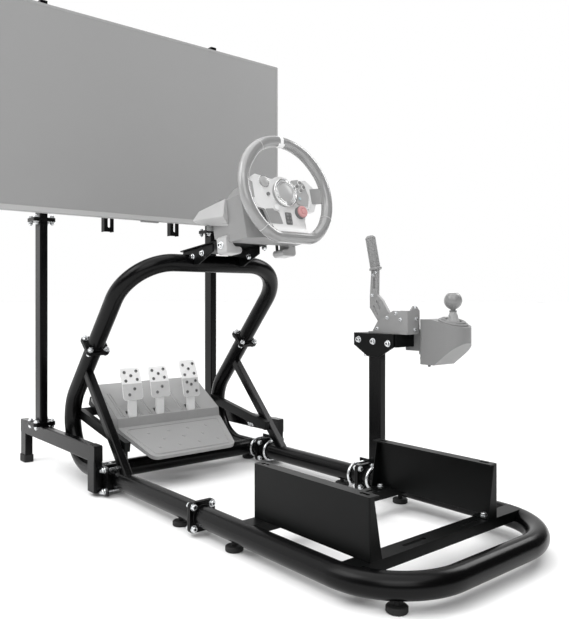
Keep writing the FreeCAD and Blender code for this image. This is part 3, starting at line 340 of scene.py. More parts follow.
# Polished grey ABS of the keys and the knob, dulled a little by hands.
GLOSS_ABS = Finish("polished_grey_abs", Grain.SMOOTH, "#7e7e7e", "#858585", roughness=0.32, spread=0.04,
                   grain_mm=2.0, depth_mm=0.01, drift_mm=30.0, coat=0.25, coat_roughness=0.2)
# Pale blue moulded key.
PALE_BLUE_ABS = Finish("pale_blue_abs", Grain.MOULDED, "#b4c4ca", "#bdccd1", roughness=0.40, spread=0.04,
                       grain_mm=0.8, depth_mm=0.03, drift_mm=12.0)
# Chromed trim ring.
CHROME = Finish("chromed_abs_trim", Grain.SMOOTH, "#f2f2f2", "#e8e8e8", roughness=0.14, spread=0.04,
                grain_mm=3.0, depth_mm=0.005, drift_mm=20.0, metallic=0.95)
# Faded red soft plastic of the selector dial.
DIAL_RED = Finish("faded_red_elastomer", Grain.MOULDED, "#c99393", "#d19e9e", roughness=0.46, grain_mm=0.7,
                  drift_mm=12.0)
# Studio floor: matt pale paper.
FLOOR_PAPER = Finish("matt_pale_paper", Grain.MOULDED, "#f8f8f8", "#f6f6f6", roughness=0.85, spread=0.04,
                     grain_mm=6.0, depth_mm=0.02, drift_mm=900.0, specular=0.1)


@dataclass(frozen=True)
class Spot:
    """Local axes in the frame; local sizes are millimetres."""

    origin: Vector = field(default_factory=Vector)
    x: Vector = field(default_factory=X_AXIS.copy)
    y: Vector = field(default_factory=Y_AXIS.copy)
    z: Vector = field(default_factory=Z_AXIS.copy)

    def matrix(self) -> Matrix:
        """Matrix from local millimetres to metres in the frame."""
        columns = Matrix((self.x, self.y, self.z)).transposed().to_4x4()
        return Matrix.Translation(self.origin) @ columns @ Matrix.Scale(MM, 4)

    def at(self, x: float, y: float, z: float = 0.0) -> Vector:
        """Point of the frame, in metres, at local millimetres."""
        return self.matrix() @ Vector((x, y, z))

    def shift(self, x: float, y: float, z: float = 0.0) -> "Spot":
        """The same axes at another local point."""
        return replace(self, origin=self.at(x, y, z))

    def sideways(self) -> "Spot":
        """The same place with this y, z and x as its x, y and z."""
        return Spot(self.origin, self.y, self.z, self.x)


ROW = Spot()


@dataclass(frozen=True)
class Extent:
    """Box of a CAD node at rest, in millimetres."""

    lo: Vector
    hi: Vector

    @classmethod
    def of(cls, node: str) -> "Extent":
        """Measure a CAD node by its name."""
        lo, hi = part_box(node)
        return cls(lo / MM, hi / MM)

    @property
    def mid(self) -> Vector:
        """Middle of the box."""
        return (self.lo + self.hi) / 2

    @property
    def size(self) -> Vector:
        """Sides of the box."""
        return self.hi - self.lo


def tilted(origin: Vector, degrees: float) -> Spot:
    """Axes at a place in metres, with the frame's x and with y rising forward by some degrees."""
    turn = Matrix.Rotation(math.radians(degrees), 3, "X")
    return Spot(origin, X_AXIS.copy(), turn @ Y_AXIS, turn @ Z_AXIS)


def facing(origin: Vector, axis: Vector) -> Spot:
    """Axes at a place in metres whose z runs along an axis other than the frame's x."""
    up = axis.normalized()
    side = X_AXIS.cross(up).normalized().cross(up).normalized() * -1
    return Spot(origin, side, up.cross(side), up)


def angles(count: int) -> list[float]:
    """Even angles of one full turn, in radians."""
    return [math.tau * i / count for i in range(count)]


def lofted(rows: Sequence[Sequence[Sequence[float]]], ring: bool = False, caps: bool = False) -> BMesh:
    """Closed mesh through rows of points, each row closed on itself.

    Args:
        rows: rows of local points; a row of one point is a pole.
        ring: join the last row to the first.
        caps: close the first and the last row with a face each.

    Returns:
        The mesh, with its faces outward.
    """
    made = bmesh.new()
    loops = [[made.verts.new(point) for point in row] for row in rows]
    for low, high in pairwise(loops + loops[:1] if ring else loops):
        count = max(len(low), len(high))
        for i in range(count):
            j = (i + 1) % count
            corners = (low[i % len(low)], low[j % len(low)], high[j % len(high)], high[i % len(high)])
            made.faces.new(list(dict.fromkeys(corners)))
    if caps:
        made.faces.new(loops[0])
        made.faces.new(loops[-1])
    bmesh.ops.recalc_face_normals(made, faces=made.faces)
    return made


def lathe(profile: Sequence[Point2], steps: int = 48, ring: bool = False) -> BMesh:
    """Turn a profile about local z.

    Args:
        profile: radius and height pairs, from the foot up.
        steps: faces round the turn.
        ring: close the last point to the first.

    Returns:
        The turned mesh.
    """
    rows = []
    for radius, height in profile:
        turns = angles(steps if radius > POLE_MM else 1)
        rows.append([(radius * math.cos(a), radius * math.sin(a), height) for a in turns])
    return lofted(rows, ring)


def torus(radius: float, height: float, thick: float, steps: int = 64, sides: int = 12) -> BMesh:
    """Round ring about local z.

    Args:
        radius: radius of its middle line.
        height: height of its middle line.
        thick: radius of its section.
        steps: faces round the ring.
        sides: faces round its section.

    Returns:
        The closed ring.
    """
    section = [(radius + thick * math.cos(a), height + thick * math.sin(a)) for a in angles(sides)]
    return lathe(section, steps, True)


def ridge(line: Sequence[Vector], width: float, height: float, closed: bool = False, sides: int = 8) -> BMesh:
    """Low rounded ridge along a line in the local xy plane.

    Args:
        line: points of the line.
        width: width of the ridge.
        height: its height.
        closed: the line closes on itself.
        sides: faces over its back.

    Returns:
        The closed ridge.
    """
    rows = []
    count = len(line)
    turns = [math.pi * i / sides for i in range(sides + 1)]
    for i, point in enumerate(line):
        ahead = line[(i + 1) % count] if closed or i + 1 < count else point
        back = line[i - 1] if closed or i else point
        aside = Z_AXIS.cross((ahead - back).normalized()) * (width / 2)
        rows.append([point + aside * math.cos(a) + Z_AXIS * (height * math.sin(a)) for a in turns])
    return lofted(rows, closed, not closed)


def slab(outline: Iterable[Point2], low: float, high: float) -> BMesh:
    """Plate from an outline, in the local xy plane.

    Args:
        outline: corners in order.
        low: height of its back.
        high: height of its face.

    Returns:
        The closed plate.
    """
    corners = list(outline)
    return lofted([[(x, y, z) for x, y in corners] for z in (low, high)], caps=True)


def moved(made: BMesh, x: float, y: float) -> BMesh:
    """Move a local mesh in its xy plane and return it."""
    made.transform(Matrix.Translation((x, y, 0.0)))
    return made


def met(mesh: Mesh, start: Vector, way: Vector) -> tuple[Vector, Vector]:
    """Point where a line from a start first meets a mesh.

    Args:
        mesh: mesh to meet, in metres.
        start: start of the line.
        way: direction of the line.

    Returns:
        The point, and the face's normal turned to the start.
    """
    points = [v.co for v in mesh.vertices]
    faces = [tuple(p.vertices) for p in mesh.polygons]
    place, normal, _, _ = BVHTree.FromPolygons(points, faces).ray_cast(start, way)
    return place, normal if normal.dot(way) < 0 else -normal


def seated(mesh: Mesh, starts: Iterable[Vector], way: Vector, scale: float) -> list[Fastening]:
    """Fastenings of one scale where lines from the starts first meet a mesh, heads to the starts."""
    return [(met(mesh, start, way)[0], -way, scale) for start in starts]


def rounded_outline(corners: Sequence[Point2], radius: float, steps: int = 5) -> list[Point2]:
    """Round the corners of an outline with arcs.

    Args:
        corners: outline in order.
        radius: radius of each arc.
        steps: faces on each arc.

    Returns:
        The rounded outline.
    """
    found = []
    count = len(corners)
    for i in range(count):
        here = Vector(corners[i])
        back = (Vector(corners[i - 1]) - here).normalized()
        ahead = (Vector(corners[(i + 1) % count]) - here).normalized()
        half = math.acos(max(-1.0, min(1.0, back.dot(ahead)))) / 2
        start = here + back * (radius / math.tan(half))
        centre = here + (back + ahead).normalized() * (radius / math.sin(half))
        arm = start - centre
        sweep = (math.pi - 2 * half) * math.copysign(1.0, back.x * ahead.y - back.y * ahead.x) * -1
        for step in range(steps + 1):
            angle = sweep * step / steps
            cos, sin = math.cos(angle), math.sin(angle)
            found.append((centre.x + arm.x * cos - arm.y * sin, centre.y + arm.x * sin + arm.y * cos))
    return found


def rectangle(width: float, depth: float) -> list[Point2]:
    """Corners of a rectangle about the origin."""
    x, y = width / 2, depth / 2
    return [(-x, -y), (x, -y), (x, y), (-x, y)]


def shifted(outline: Iterable[Point2], x: float, y: float) -> list[Point2]:
    """Copy of an outline moved in its plane."""
    return [(a + x, b + y) for a, b in outline]


def joined(meshes: Iterable[BMesh]) -> BMesh:
    """One mesh from several.

    Args:
        meshes: meshes to join; they are freed.

    Returns:
        The joined mesh.
    """
    made = bmesh.new()
    for mesh in meshes:
        store = bpy.data.meshes.new("join")
        mesh.to_mesh(store)
        mesh.free()
        made.from_mesh(store)
        bpy.data.meshes.remove(store)
    return made


def flattened(made: BMesh) -> BMesh:
    """Join the faces of a mesh that lie in one plane and return it."""
    bmesh.ops.dissolve_limit(made, angle_limit=math.radians(FLAT_DEG), verts=made.verts, edges=made.edges)
    return made


def node_copy(node: Piece) -> BMesh:
    """Merged copy of a CAD node in millimetres, flat faces joined.

    Args:
        node: the node's object.

    Returns:
        Closed mesh whose edges can be softened.
    """
    made = bmesh.new()
    made.from_mesh(node.data)
    made.transform(Matrix.Scale(1 / MM, 4))
    bmesh.ops.remove_doubles(made, verts=made.verts, dist=WELD_MM)
    return flattened(made)


def soften(made: BMesh, width: float, steps: int = 2) -> None:
    """Round the sharp edges of a mesh.

    Args:
        made: mesh to change.
        width: width of the rounding in the mesh's units.
        steps: faces across it.
    """
    limit = math.radians(SMOOTH_DEG)
    sharp = [e for e in made.edges if e.is_manifold and e.calc_face_angle(0.0) > limit]
    bmesh.ops.bevel(made, geom=sharp, offset=width, offset_type="OFFSET", segments=steps, profile=0.5,
                    affect="EDGES", clamp_overlap=True)


def shown(name: str, mesh: Mesh) -> Piece:
    """Put a mesh in the scene with smooth faces and sharp creases.

    Args:
        name: name of the piece.
        mesh: its mesh, in metres in the frame.

    Returns:
        The new object.
    """
    mesh.shade_smooth()
    mesh.set_sharp_from_angle(angle=math.radians(SMOOTH_DEG))
    made = bpy.data.objects.new(name, mesh)
    bpy.context.scene.collection.objects.link(made)
    even = made.modifiers.new("even_normals", "WEIGHTED_NORMAL")
    even.keep_sharp = True
    return made


def new_tree(name: str, sockets: Iterable[tuple[str, str]]) -> tuple[Tree, bpy.types.Node]:
    """Start a geometry tree with named inputs.

    Args:
        name: name of the tree.
        sockets: name and kind of each input after the geometry.

    Returns:
        The tree and its input node.
    """
    tree = bpy.data.node_groups.new(name, "GeometryNodeTree")
    tree.interface.new_socket("Geometry", in_out="INPUT", socket_type="NodeSocketGeometry")
    tree.interface.new_socket("Geometry", in_out="OUTPUT", socket_type="NodeSocketGeometry")
    for label, kind in sockets:
        tree.interface.new_socket(label, in_out="INPUT", socket_type="NodeSocket" + kind)
    return tree, add_node(tree, "NodeGroupInput")


SCREW_SIZES = ("Washer Radius", "Washer Height", "Head Radius", "Head Height", "Core Radius", "Core Height")
BEAD_SIZES = ("Pitch", "Length", "Width", "Height")
GRID_SIZES = ("Reach X", "Reach Y", "Length", "Width", "Height")
CROWN_RISE = 0.22
CROWN_TAPER = 0.80
WASHER_SIDES = 20
CORE_SIDES = 6


def fastener_tree() -> Tree:
    """Tree that stands a washer, a crowned head and a core on every point, along its axis."""
    name = "fasteners_on_points"
    if name in bpy.data.node_groups:
        return bpy.data.node_groups[name]
    sockets = [(label, "Float") for label in SCREW_SIZES]
    sockets += [("Sides", "Int"), ("Metal", "Material"), ("Core", "Material")]
    tree, given = new_tree(name, sockets)
    put = given.outputs
    washer, head, metal = put["Washer Radius"], put["Head Radius"], put["Metal"]
    rise, tall = put["Washer Height"], put["Head Height"]
    top = add_node(tree, "ShaderNodeMath", {0: rise, 1: tall}).outputs[0]
    crown = add_node(tree, "ShaderNodeMath", {0: tall, 1: CROWN_RISE}, operation="MULTIPLY").outputs[0]
    peak = add_node(tree, "ShaderNodeMath", {0: top, 1: crown}).outputs[0]
    small = add_node(tree, "ShaderNodeMath", {0: head, 1: CROWN_TAPER}, operation="MULTIPLY").outputs[0]
    stages = (
        (WASHER_SIDES, washer, washer, rise, 0.0, metal),
        (put["Sides"], head, head, tall, rise, metal),
        (put["Sides"], head, small, crown, top, metal),
        (CORE_SIDES, put["Core Radius"], put["Core Radius"], put["Core Height"], peak, put["Core"]),
    )
    join = add_node(tree, "GeometryNodeJoinGeometry")
    for count, bottom, upper, depth, base, coat in stages:
        cone = add_node(tree, "GeometryNodeMeshCone", {
            "Vertices": count, "Radius Bottom": bottom, "Radius Top": upper, "Depth": depth,
        })
        lift = add_node(tree, "ShaderNodeCombineXYZ", {"Z": base})
        stood = add_node(tree, "GeometryNodeTransform", {
            "Geometry": cone.outputs["Mesh"], "Translation": lift.outputs[0],
        })
        coated = add_node(tree, "GeometryNodeSetMaterial", {"Geometry": stood.outputs[0], "Material": coat})
        tree.links.new(coated.outputs[0], join.inputs[0])
    axis = add_node(tree, "GeometryNodeInputNamedAttribute", {"Name": "axis"}, data_type="FLOAT_VECTOR")
    size = add_node(tree, "GeometryNodeInputNamedAttribute", {"Name": "size"}, data_type="FLOAT")
    turn = add_node(tree, "FunctionNodeAlignRotationToVector", {"Vector": axis.outputs[0]}, axis="Z")
    spread = add_node(tree, "GeometryNodeInstanceOnPoints", {
        "Points": put["Geometry"],
        "Instance": join.outputs[0],
        "Rotation": turn.outputs[0],
        "Scale": size.outputs[0],
    })
    real = add_node(tree, "GeometryNodeRealizeInstances", {"Geometry": spread.outputs[0]})
    add_node(tree, "NodeGroupOutput", {0: real.outputs[0]})
    return tree


def end_tree(tree: Tree, given: bpy.types.Node, spread: dict) -> None:
    """Set one sized form on each point, make the copies real and coat them.

    Args:
        tree: the geometry tree, whose inputs hold Length, Width, Height and Finish.
        given: its input node.
        spread: sources of the points, the form and, where it turns, the rotation.
    """
    put = given.outputs
    scale = add_node(tree, "ShaderNodeCombineXYZ", {
        "X": put["Length"], "Y": put["Width"], "Z": put["Height"],
    })
    copies = add_node(tree, "GeometryNodeInstanceOnPoints", spread | {"Scale": scale.outputs[0]})
    real = add_node(tree, "GeometryNodeRealizeInstances", {"Geometry": copies.outputs[0]})
    coated = add_node(tree, "GeometryNodeSetMaterial", {
        "Geometry": real.outputs[0], "Material": put["Finish"],
    })
    add_node(tree, "NodeGroupOutput", {0: coated.outputs[0]})


def bead_tree() -> Tree:
    """Tree that lays small long beads along the edges of a mesh, as stitches, welds or knurls."""
    name = "beads_along_path"
    if name in bpy.data.node_groups:
        return bpy.data.node_groups[name]
    tree, given = new_tree(name, [(label, "Float") for label in BEAD_SIZES] + [("Finish", "Material")])
    curve = add_node(tree, "GeometryNodeMeshToCurve", {"Mesh": given.outputs["Geometry"]})
    even = add_node(tree, "GeometryNodeResampleCurve", {
        "Curve": curve.outputs[0], "Length": given.outputs["Pitch"],
    }, mode="LENGTH")
    tangent = add_node(tree, "GeometryNodeInputTangent").outputs[0]
    turn = add_node(tree, "FunctionNodeAlignRotationToVector", {"Vector": tangent}, axis="X")
    bead = add_node(tree, "GeometryNodeMeshIcoSphere", {"Radius": 0.5, "Subdivisions": 2})
    end_tree(tree, given, {
        "Points": even.outputs[0], "Instance": bead.outputs[0], "Rotation": turn.outputs[0],
    })
    return tree


def grid_tree(form: Form) -> Tree:
    """Tree that repeats one small form over a flat grid.

    Args:
        form: the form to repeat.

    Returns:
        The tree.
    """
    name = "grid_of_" + form.value
    if name in bpy.data.node_groups:
        return bpy.data.node_groups[name]
    sockets = [(label, "Float") for label in GRID_SIZES]
    sockets += [("Count X", "Int"), ("Count Y", "Int"), ("Finish", "Material")]
    tree, given = new_tree(name, sockets)
    put = given.outputs
    grid = add_node(tree, "GeometryNodeMeshGrid", {
        "Size X": put["Reach X"],
        "Size Y": put["Reach Y"],
        "Vertices X": put["Count X"],
        "Vertices Y": put["Count Y"],
    })
    if form is Form.DOME:
        small = add_node(tree, "GeometryNodeMeshIcoSphere", {"Radius": 0.5, "Subdivisions": 3})
    else:
        small = add_node(tree, "GeometryNodeMeshCube", {"Size": (1.0, 1.0, 1.0)})
    end_tree(tree, given, {"Points": grid.outputs["Mesh"], "Instance": small.outputs["Mesh"]})
    return tree


def grown(name: str, tree: Tree, source: Mesh, values: dict) -> Piece:
    """Run a tree on a source mesh and keep its result as a plain mesh.

    Args:
        name: name of the piece.
        tree: the geometry tree.
        source: mesh of points or edges that the tree starts from.
        values: value of each input by its label.

    Returns:
        The piece, with no modifier of the tree left.
    """
    made = bpy.data.objects.new(name, source)
    bpy.context.scene.collection.objects.link(made)
    grow = made.modifiers.new(tree.name, "NODES")
    grow.node_group = tree
    for item in tree.interface.items_tree:
        if item.in_out == "INPUT" and item.name in values:
            grow[item.identifier] = values[item.name]
    graph = bpy.context.evaluated_depsgraph_get()
    mesh = bpy.data.meshes.new_from_object(made.evaluated_get(graph), depsgraph=graph)
    made.modifiers.remove(grow)
    bpy.data.objects.remove(made)
    mesh.name = name
    return shown(name, mesh)


def point_mesh(spots: Sequence[Fastening]) -> Mesh:
    """Mesh of loose points with an axis and a size each.

    Args:
        spots: place in metres, outward axis and scale of each fastener.

    Returns:
        The mesh.
    """
    mesh = bpy.data.meshes.new("fastener_points")
    mesh.from_pydata([place for place, _, _ in spots], [], [])
    axis = mesh.attributes.new("axis", "FLOAT_VECTOR", "POINT")
    axis.data.foreach_set("vector", [part for _, along, _ in spots for part in along])
    size = mesh.attributes.new("size", "FLOAT", "POINT")
    size.data.foreach_set("value", [scale for _, _, scale in spots])
    return mesh


def path_mesh(loops: Iterable[Sequence[Vector]]) -> Mesh:
    """Mesh of closed loops of edges.

    Args:
        loops: points of each loop, in metres.

    Returns:
        The mesh.
    """
    points = []
    edges = []
    for loop in loops:
        first = len(points)
        points += list(loop)
        edges += [(first + i, first + (i + 1) % len(loop)) for i in range(len(loop))]
    mesh = bpy.data.meshes.new("path")
    mesh.from_pydata(points, edges, [])
    return mesh


def ring_points(spot: Spot, radius: float, height: float = 0.0, steps: int = 48) -> list[Vector]:
    """Points of a circle about a spot's z, in metres."""
    return [spot.at(radius * math.cos(a), radius * math.sin(a), height) for a in angles(steps)]


@dataclass(frozen=True)
class Screw:
    """Sizes of one kind of fastener, in millimetres, and its finishes."""

    washer_radius: float
    washer_height: float
    head_radius: float
    head_height: float
    core_radius: float
    core_height: float
    sides: int
    core: Finish
    metal: Finish = ZINC_PLATE

    def values(self) -> dict:
        """Inputs of the fastener tree."""
        sizes = {label: getattr(self, label.lower().replace(" ", "_")) * MM for label in SCREW_SIZES}
        return sizes | {"Sides": self.sides, "Metal": self.metal.material(), "Core": self.core.material()}


# The screw's core is a dark disc of painted shade standing for its hex socket.
CAP_SCREW = Screw(washer_radius=8.6, washer_height=1.6, head_radius=6.6, head_height=5.0, core_radius=3.1,
                  core_height=0.15, sides=20, core=RECESS_SHADE)
HEX_NUT = Screw(washer_radius=8.6, washer_height=1.6, head_radius=7.5, head_height=5.6, core_radius=3.9,
                core_height=3.0, sides=6, core=ZINC_PLATE)
PAD_STUD = Screw(washer_radius=5.0, washer_height=0.7, head_radius=4.4, head_height=0.7, core_radius=2.7,
                 core_height=0.5, sides=20, core=CHROME, metal=DARK_ABS)
# An open hole drawn as a flat dark disc: painted shade, not a hole through the sheet.
HOLE_SHADE_DISC = Screw(washer_radius=4.2, washer_height=0.15, head_radius=3.6, head_height=0.1, core_radius=2.0,
                   core_height=0.05, sides=16, core=RECESS_SHADE, metal=RECESS_SHADE)


@dataclass(frozen=True)
class Bead:
    """Bead that repeats along a path, in millimetres."""

    pitch: float
    length: float
    width: float
    height: float

    def values(self, finish: Finish) -> dict:
        """Inputs of the bead tree."""
        sizes = {label: getattr(self, label.lower()) * MM for label in BEAD_SIZES}
        return sizes | {"Finish": finish.material()}


@dataclass(frozen=True)
class Grid:
    """Flat grid of small forms: rows each way, reach between the outer ones and size, in millimetres."""

    counts: tuple[int, int]
    reach: Point2
    size: Point3

    def values(self, finish: Finish) -> dict:
        """Inputs of the grid tree."""
        sizes = {label: part * MM for label, part in zip(GRID_SIZES, self.reach + self.size)}
        return sizes | {"Count X": self.counts[0], "Count Y": self.counts[1], "Finish": finish.material()}


def flange_bolts(spot: Spot, offset: float, thick: float) -> tuple[list[Fastening], list[Fastening]]:
    """Screws and nuts at the four corners of a pair of joint plates.

    Args:
        spot: middle of the joint, z across the plates.
        offset: distance of the holes from the middle along x and y.
        thick: thickness of one plate.

    Returns:
        The screws on the low side and the nuts on the high side.
    """
    corners = [(a * offset, b * offset) for a, b in product(SIDES, SIDES)]
    screws = [(spot.at(x, y, -thick), -spot.z, 1.0) for x, y in corners]
    nuts = [(spot.at(x, y, thick), spot.z, 1.0) for x, y in corners]
    return screws, nuts


@dataclass(frozen=True)
class Skin:
    """Softened copy that stands for a CAD node; its rounding is in millimetres."""

    node: str
    finish: Finish
    slot: Slot
    bevel: float
    body: str | None = None

    @classmethod
    def many(cls, finish: Finish, slot: Slot, bevel: float, *nodes: str) -> tuple["Skin", ...]:
        """Skins of nodes that share a finish and a rounding."""
        return tuple(cls(node, finish, slot, bevel) for node in nodes)


Skins = tuple[Skin, ...]


@dataclass(frozen=True)
class Turned:
    """Turned piece on a face: profile of radius and height, and its place on the face, in millimetres."""

    name: str
    finish: Finish
    profile: Profile
    at: Point2 = (0.0, 0.0)
    steps: int = 48
    bevel: float = 0.0
    stands_for: tuple[str, ...] = ()
    slot: Slot = Slot.PLASTIC
    ring: bool = False


@dataclass(frozen=True)
class Plate:
    """Flat piece on a face: corners, their rounding and its thickness above the face, in millimetres."""

    name: str
    finish: Finish
    corners: Profile
    corner: float
    high: float
    bevel: float
    slot: Slot = Slot.PLASTIC
    low: float = 0.05


@dataclass
class Assembly:
    """Base of every sub-assembly: dresses its CAD nodes and puts pieces on bodies."""

    frame: dict
    body: str = FRAME_BODY
    skins: Skins = ()

    def build(self) -> None:
        """Dress the plain nodes, then add the details."""
        for skin in self.skins:
            self.dress(skin)
        self.details()

    def details(self) -> None:
        """Add what the assembly has besides its plain nodes."""

    def joint(self, name: str) -> dict:
        """Joint of the frame by its name."""
        return next(joint for joint in self.frame["joints"] if joint["name"] == name)

    def mesh(self, node: str) -> Mesh:
        """Mesh of a CAD node, in metres."""
        return self.frame["nodes"][node].data

    def attach(self, made: Piece, stands_for: Sequence[str] = (),
               body: str | None = None) -> None:
        """Ride a finished piece on its body.

        Args:
            made: the piece.
            stands_for: CAD nodes that it replaces.
            body: body it rides on, or the assembly's own.
        """
        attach(made, body or self.body)
        if stands_for:
            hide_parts(*stands_for)
        LOG.info("piece %s, %d faces", made.name, len(made.data.polygons))

    def form(self, name: str, made: BMesh, finishes: Sequence[Finish], spot: Spot = ROW, bevel: float = 0.0,
             paint: Paint | None = None) -> Piece:
        """Turn a local mesh into an object that rides on nothing yet.

        Args:
            name: name of the piece.
            made: its mesh in local millimetres; it is freed.
            finishes: its finishes, the first for all faces that paint doesn't choose.
            spot: local axes of the mesh.
            bevel: rounding of its edges in millimetres.
            paint: gives the number of the finish at a face's local middle.

        Returns:
            The object.
        """
        if paint:
            for face in made.faces:
                face.material_index = paint(face.calc_center_median())
        if bevel:
            soften(made, bevel)
        made.transform(spot.matrix())
        mesh = bpy.data.meshes.new(name)
        made.to_mesh(mesh)
        made.free()
        stale = mesh.attributes.get("custom_normal")
        if stale:
            mesh.attributes.remove(stale)
        for finish in finishes:
            mesh.materials.append(finish.material())
        return shown(name, mesh)

    def piece(self, name: str, made: BMesh, finishes: Sequence[Finish], slot: Slot, spot: Spot = ROW,
              bevel: float = 0.0, stands_for: Sequence[str] = (), body: str | None = None,
              paint: Paint | None = None) -> None:
        """Turn a local mesh into a piece of the object.

        Args:
            name: name of the piece.
            made: its mesh in local millimetres; it is freed.
            finishes: its finishes, the first for all faces that paint doesn't choose.
            slot: the record's slot; not used.
            spot: local axes of the mesh.
            bevel: rounding of its edges in millimetres.
            stands_for: CAD nodes that it replaces.
            body: body it rides on, or the assembly's own.
            paint: gives the number of the finish at a face's local middle.
        """
        self.attach(self.form(name, made, finishes, spot, bevel, paint), stands_for, body)

    def dress(self, skin: Skin, extra: Finish | None = None, paint: Paint | None = None) -> None:
        """Stand a softened copy in for a CAD node.

        Args:
            skin: the node, its finish, slot, rounding and body.
            extra: second finish, for the faces that paint gives 1.
            paint: gives the number of the finish at a face's middle, in millimetres.
        """
        finishes = [skin.finish, extra] if extra else [skin.finish]
        copy = node_copy(self.frame["nodes"][skin.node])
        self.piece(skin.node + "_skin", copy, finishes, skin.slot, ROW, skin.bevel, (skin.node,), skin.body,
                   paint)

    def turn(self, item: Turned, spot: Spot, body: str | None = None) -> None:
        """Add a turned piece on the face that a spot gives."""
        made = moved(lathe(item.profile, item.steps, item.ring), *item.at)
        self.piece(item.name, made, [item.finish], item.slot, spot, item.bevel, item.stands_for, body)

    def lay(self, item: Plate, spot: Spot) -> None:
        """Add a flat piece on the face that a spot gives."""
        made = slab(rounded_outline(item.corners, item.corner), item.low, item.high)
        self.piece(item.name, made, [item.finish], item.slot, spot, item.bevel)

    def fasten(self, name: str, screw: Screw, spots: Sequence[Fastening], body: str | None = None,
               slot: Slot = Slot.ZINC) -> None:
        """Set fasteners on a body as one piece.

        Args:
            name: name of the piece.
            screw: kind of fastener.
            spots: place, axis and scale of each.
            body: body they ride on, or the assembly's own.
            slot: the record's slot; not used.
        """
        made = grown(name, fastener_tree(), point_mesh(spots), screw.values())
        self.attach(made, (), body)

    def beads(self, name: str, loops: Iterable[Sequence[Vector]], bead: Bead, finish: Finish,
              slot: Slot) -> None:
        """Lay beads along loops as one piece.

        Args:
            name: name of the piece.
            loops: points of each loop in metres.
            bead: size and pitch of the beads.
            finish: their finish.
            slot: the record's slot; not used.
        """
        self.attach(grown(name, bead_tree(), path_mesh(loops), bead.values(finish)))

    def grid(self, name: str, form: Form, grid: Grid, finish: Finish, slot: Slot, spot: Spot) -> None:
        """Lay a grid of small forms as one piece.

        Args:
            name: name of the piece.
            form: form that repeats.
            grid: counts, reach and size of the forms.
            finish: their finish.
            slot: the record's slot; not used.
            spot: axes of the grid, at its middle.
        """
        made = grown(name, grid_tree(form), bpy.data.meshes.new("grid_source"), grid.values(finish))
        made.data.transform(spot.matrix() @ Matrix.Scale(1 / MM, 4))
        self.attach(made)


@dataclass
class TubeFrame(Assembly):
    """Floor loop, side tubes, uprights, hoop and their joints."""

    skins: Skins = Skin.many(
        POWDER_BLACK, Slot.BLACK, 1.2,
        "rear_base_loop", "side_tubes", "lower_uprights", "upper_hoop", "cross_tube", "braces",
    ) + Skin.many(FOOT_RUBBER, Slot.RUBBER, 1.0, "base_feet")
    lean_deg: float = 41.5
    flange: float = 70.0
    plate: float = 6.0
    tube_radius: float = 25.0
    hole_offset: float = 25.0
    weld: Bead = Bead(pitch=2.6, length=3.4, width=5.0, height=5.0)
    weld_proud: float = 0.6
    weld_rise: float = 1.0

    def joints(self) -> list[Spot]:
        """Axes at the middle of each pair of joint plates, z along the tube."""
        sides = Extent.of("side_tubes")
        hoop = Extent.of("upper_hoop")
        reach = self.flange / 2
        half = sides.hi.x - reach
        lean = math.radians(self.lean_deg)
        upper = (hoop.hi.y - reach * math.cos(lean), hoop.lo.z + reach * math.sin(lean))
        along = Vector((0.0, -math.sin(lean), math.cos(lean)))
        found = []
        for side in SIDES:
            for y in (sides.lo.y, sides.hi.y):
                found.append(facing(ROW.at(side * half, y, sides.mid.z), Y_AXIS))
            found.append(facing(ROW.at(side * half, *upper), along))
        return found

    def details(self) -> None:
        """Add welds and joint bolts."""
        screws = []
        nuts = []
        welds = []
        for joint in self.joints():
            low, high = flange_bolts(joint, self.hole_offset, self.plate)
            screws += low
            nuts += high
            for side in SIDES:
                height = side * (self.plate + self.weld_rise)
                welds.append(ring_points(joint, self.tube_radius + self.weld_proud, height))
        self.fasten("frame_joint_screws", CAP_SCREW, screws)
        self.fasten("frame_joint_nuts", HEX_NUT, nuts)
        self.beads("frame_weld_beads", welds, self.weld, POWDER_BLACK, Slot.BLACK)


@dataclass
class SeatSupports(Assembly):
    """Seat crossbars and brackets of folded sheet."""

    brackets: tuple[tuple[str, int], ...] = (("left_seat_bracket", 1), ("right_seat_bracket", -1))
    skins: Skins = (
        Skin.many(POWDER_SHEET, Slot.BLACK, 0.8, "seat_crossbars")
        + Skin.many(POWDER_SHEET, Slot.BLACK, 0.9, "left_seat_bracket", "right_seat_bracket")
    )
    foot_inset: float = 20.0
    wall: float = 3.0
    screw_scale: float = 0.95

    def details(self) -> None:
        """Bolt the brackets' feet down."""
        spots = []
        for node, side in self.brackets:
            span = Extent.of(node)
            x = (span.lo.x if side > 0 else span.hi.x) + side * self.foot_inset
            for y in (span.lo.y + self.foot_inset, span.hi.y - self.foot_inset):
                spots.append((ROW.at(x, y, span.lo.z + self.wall), Z_AXIS, self.screw_scale))
        self.fasten("seat_bracket_screws", CAP_SCREW, spots)


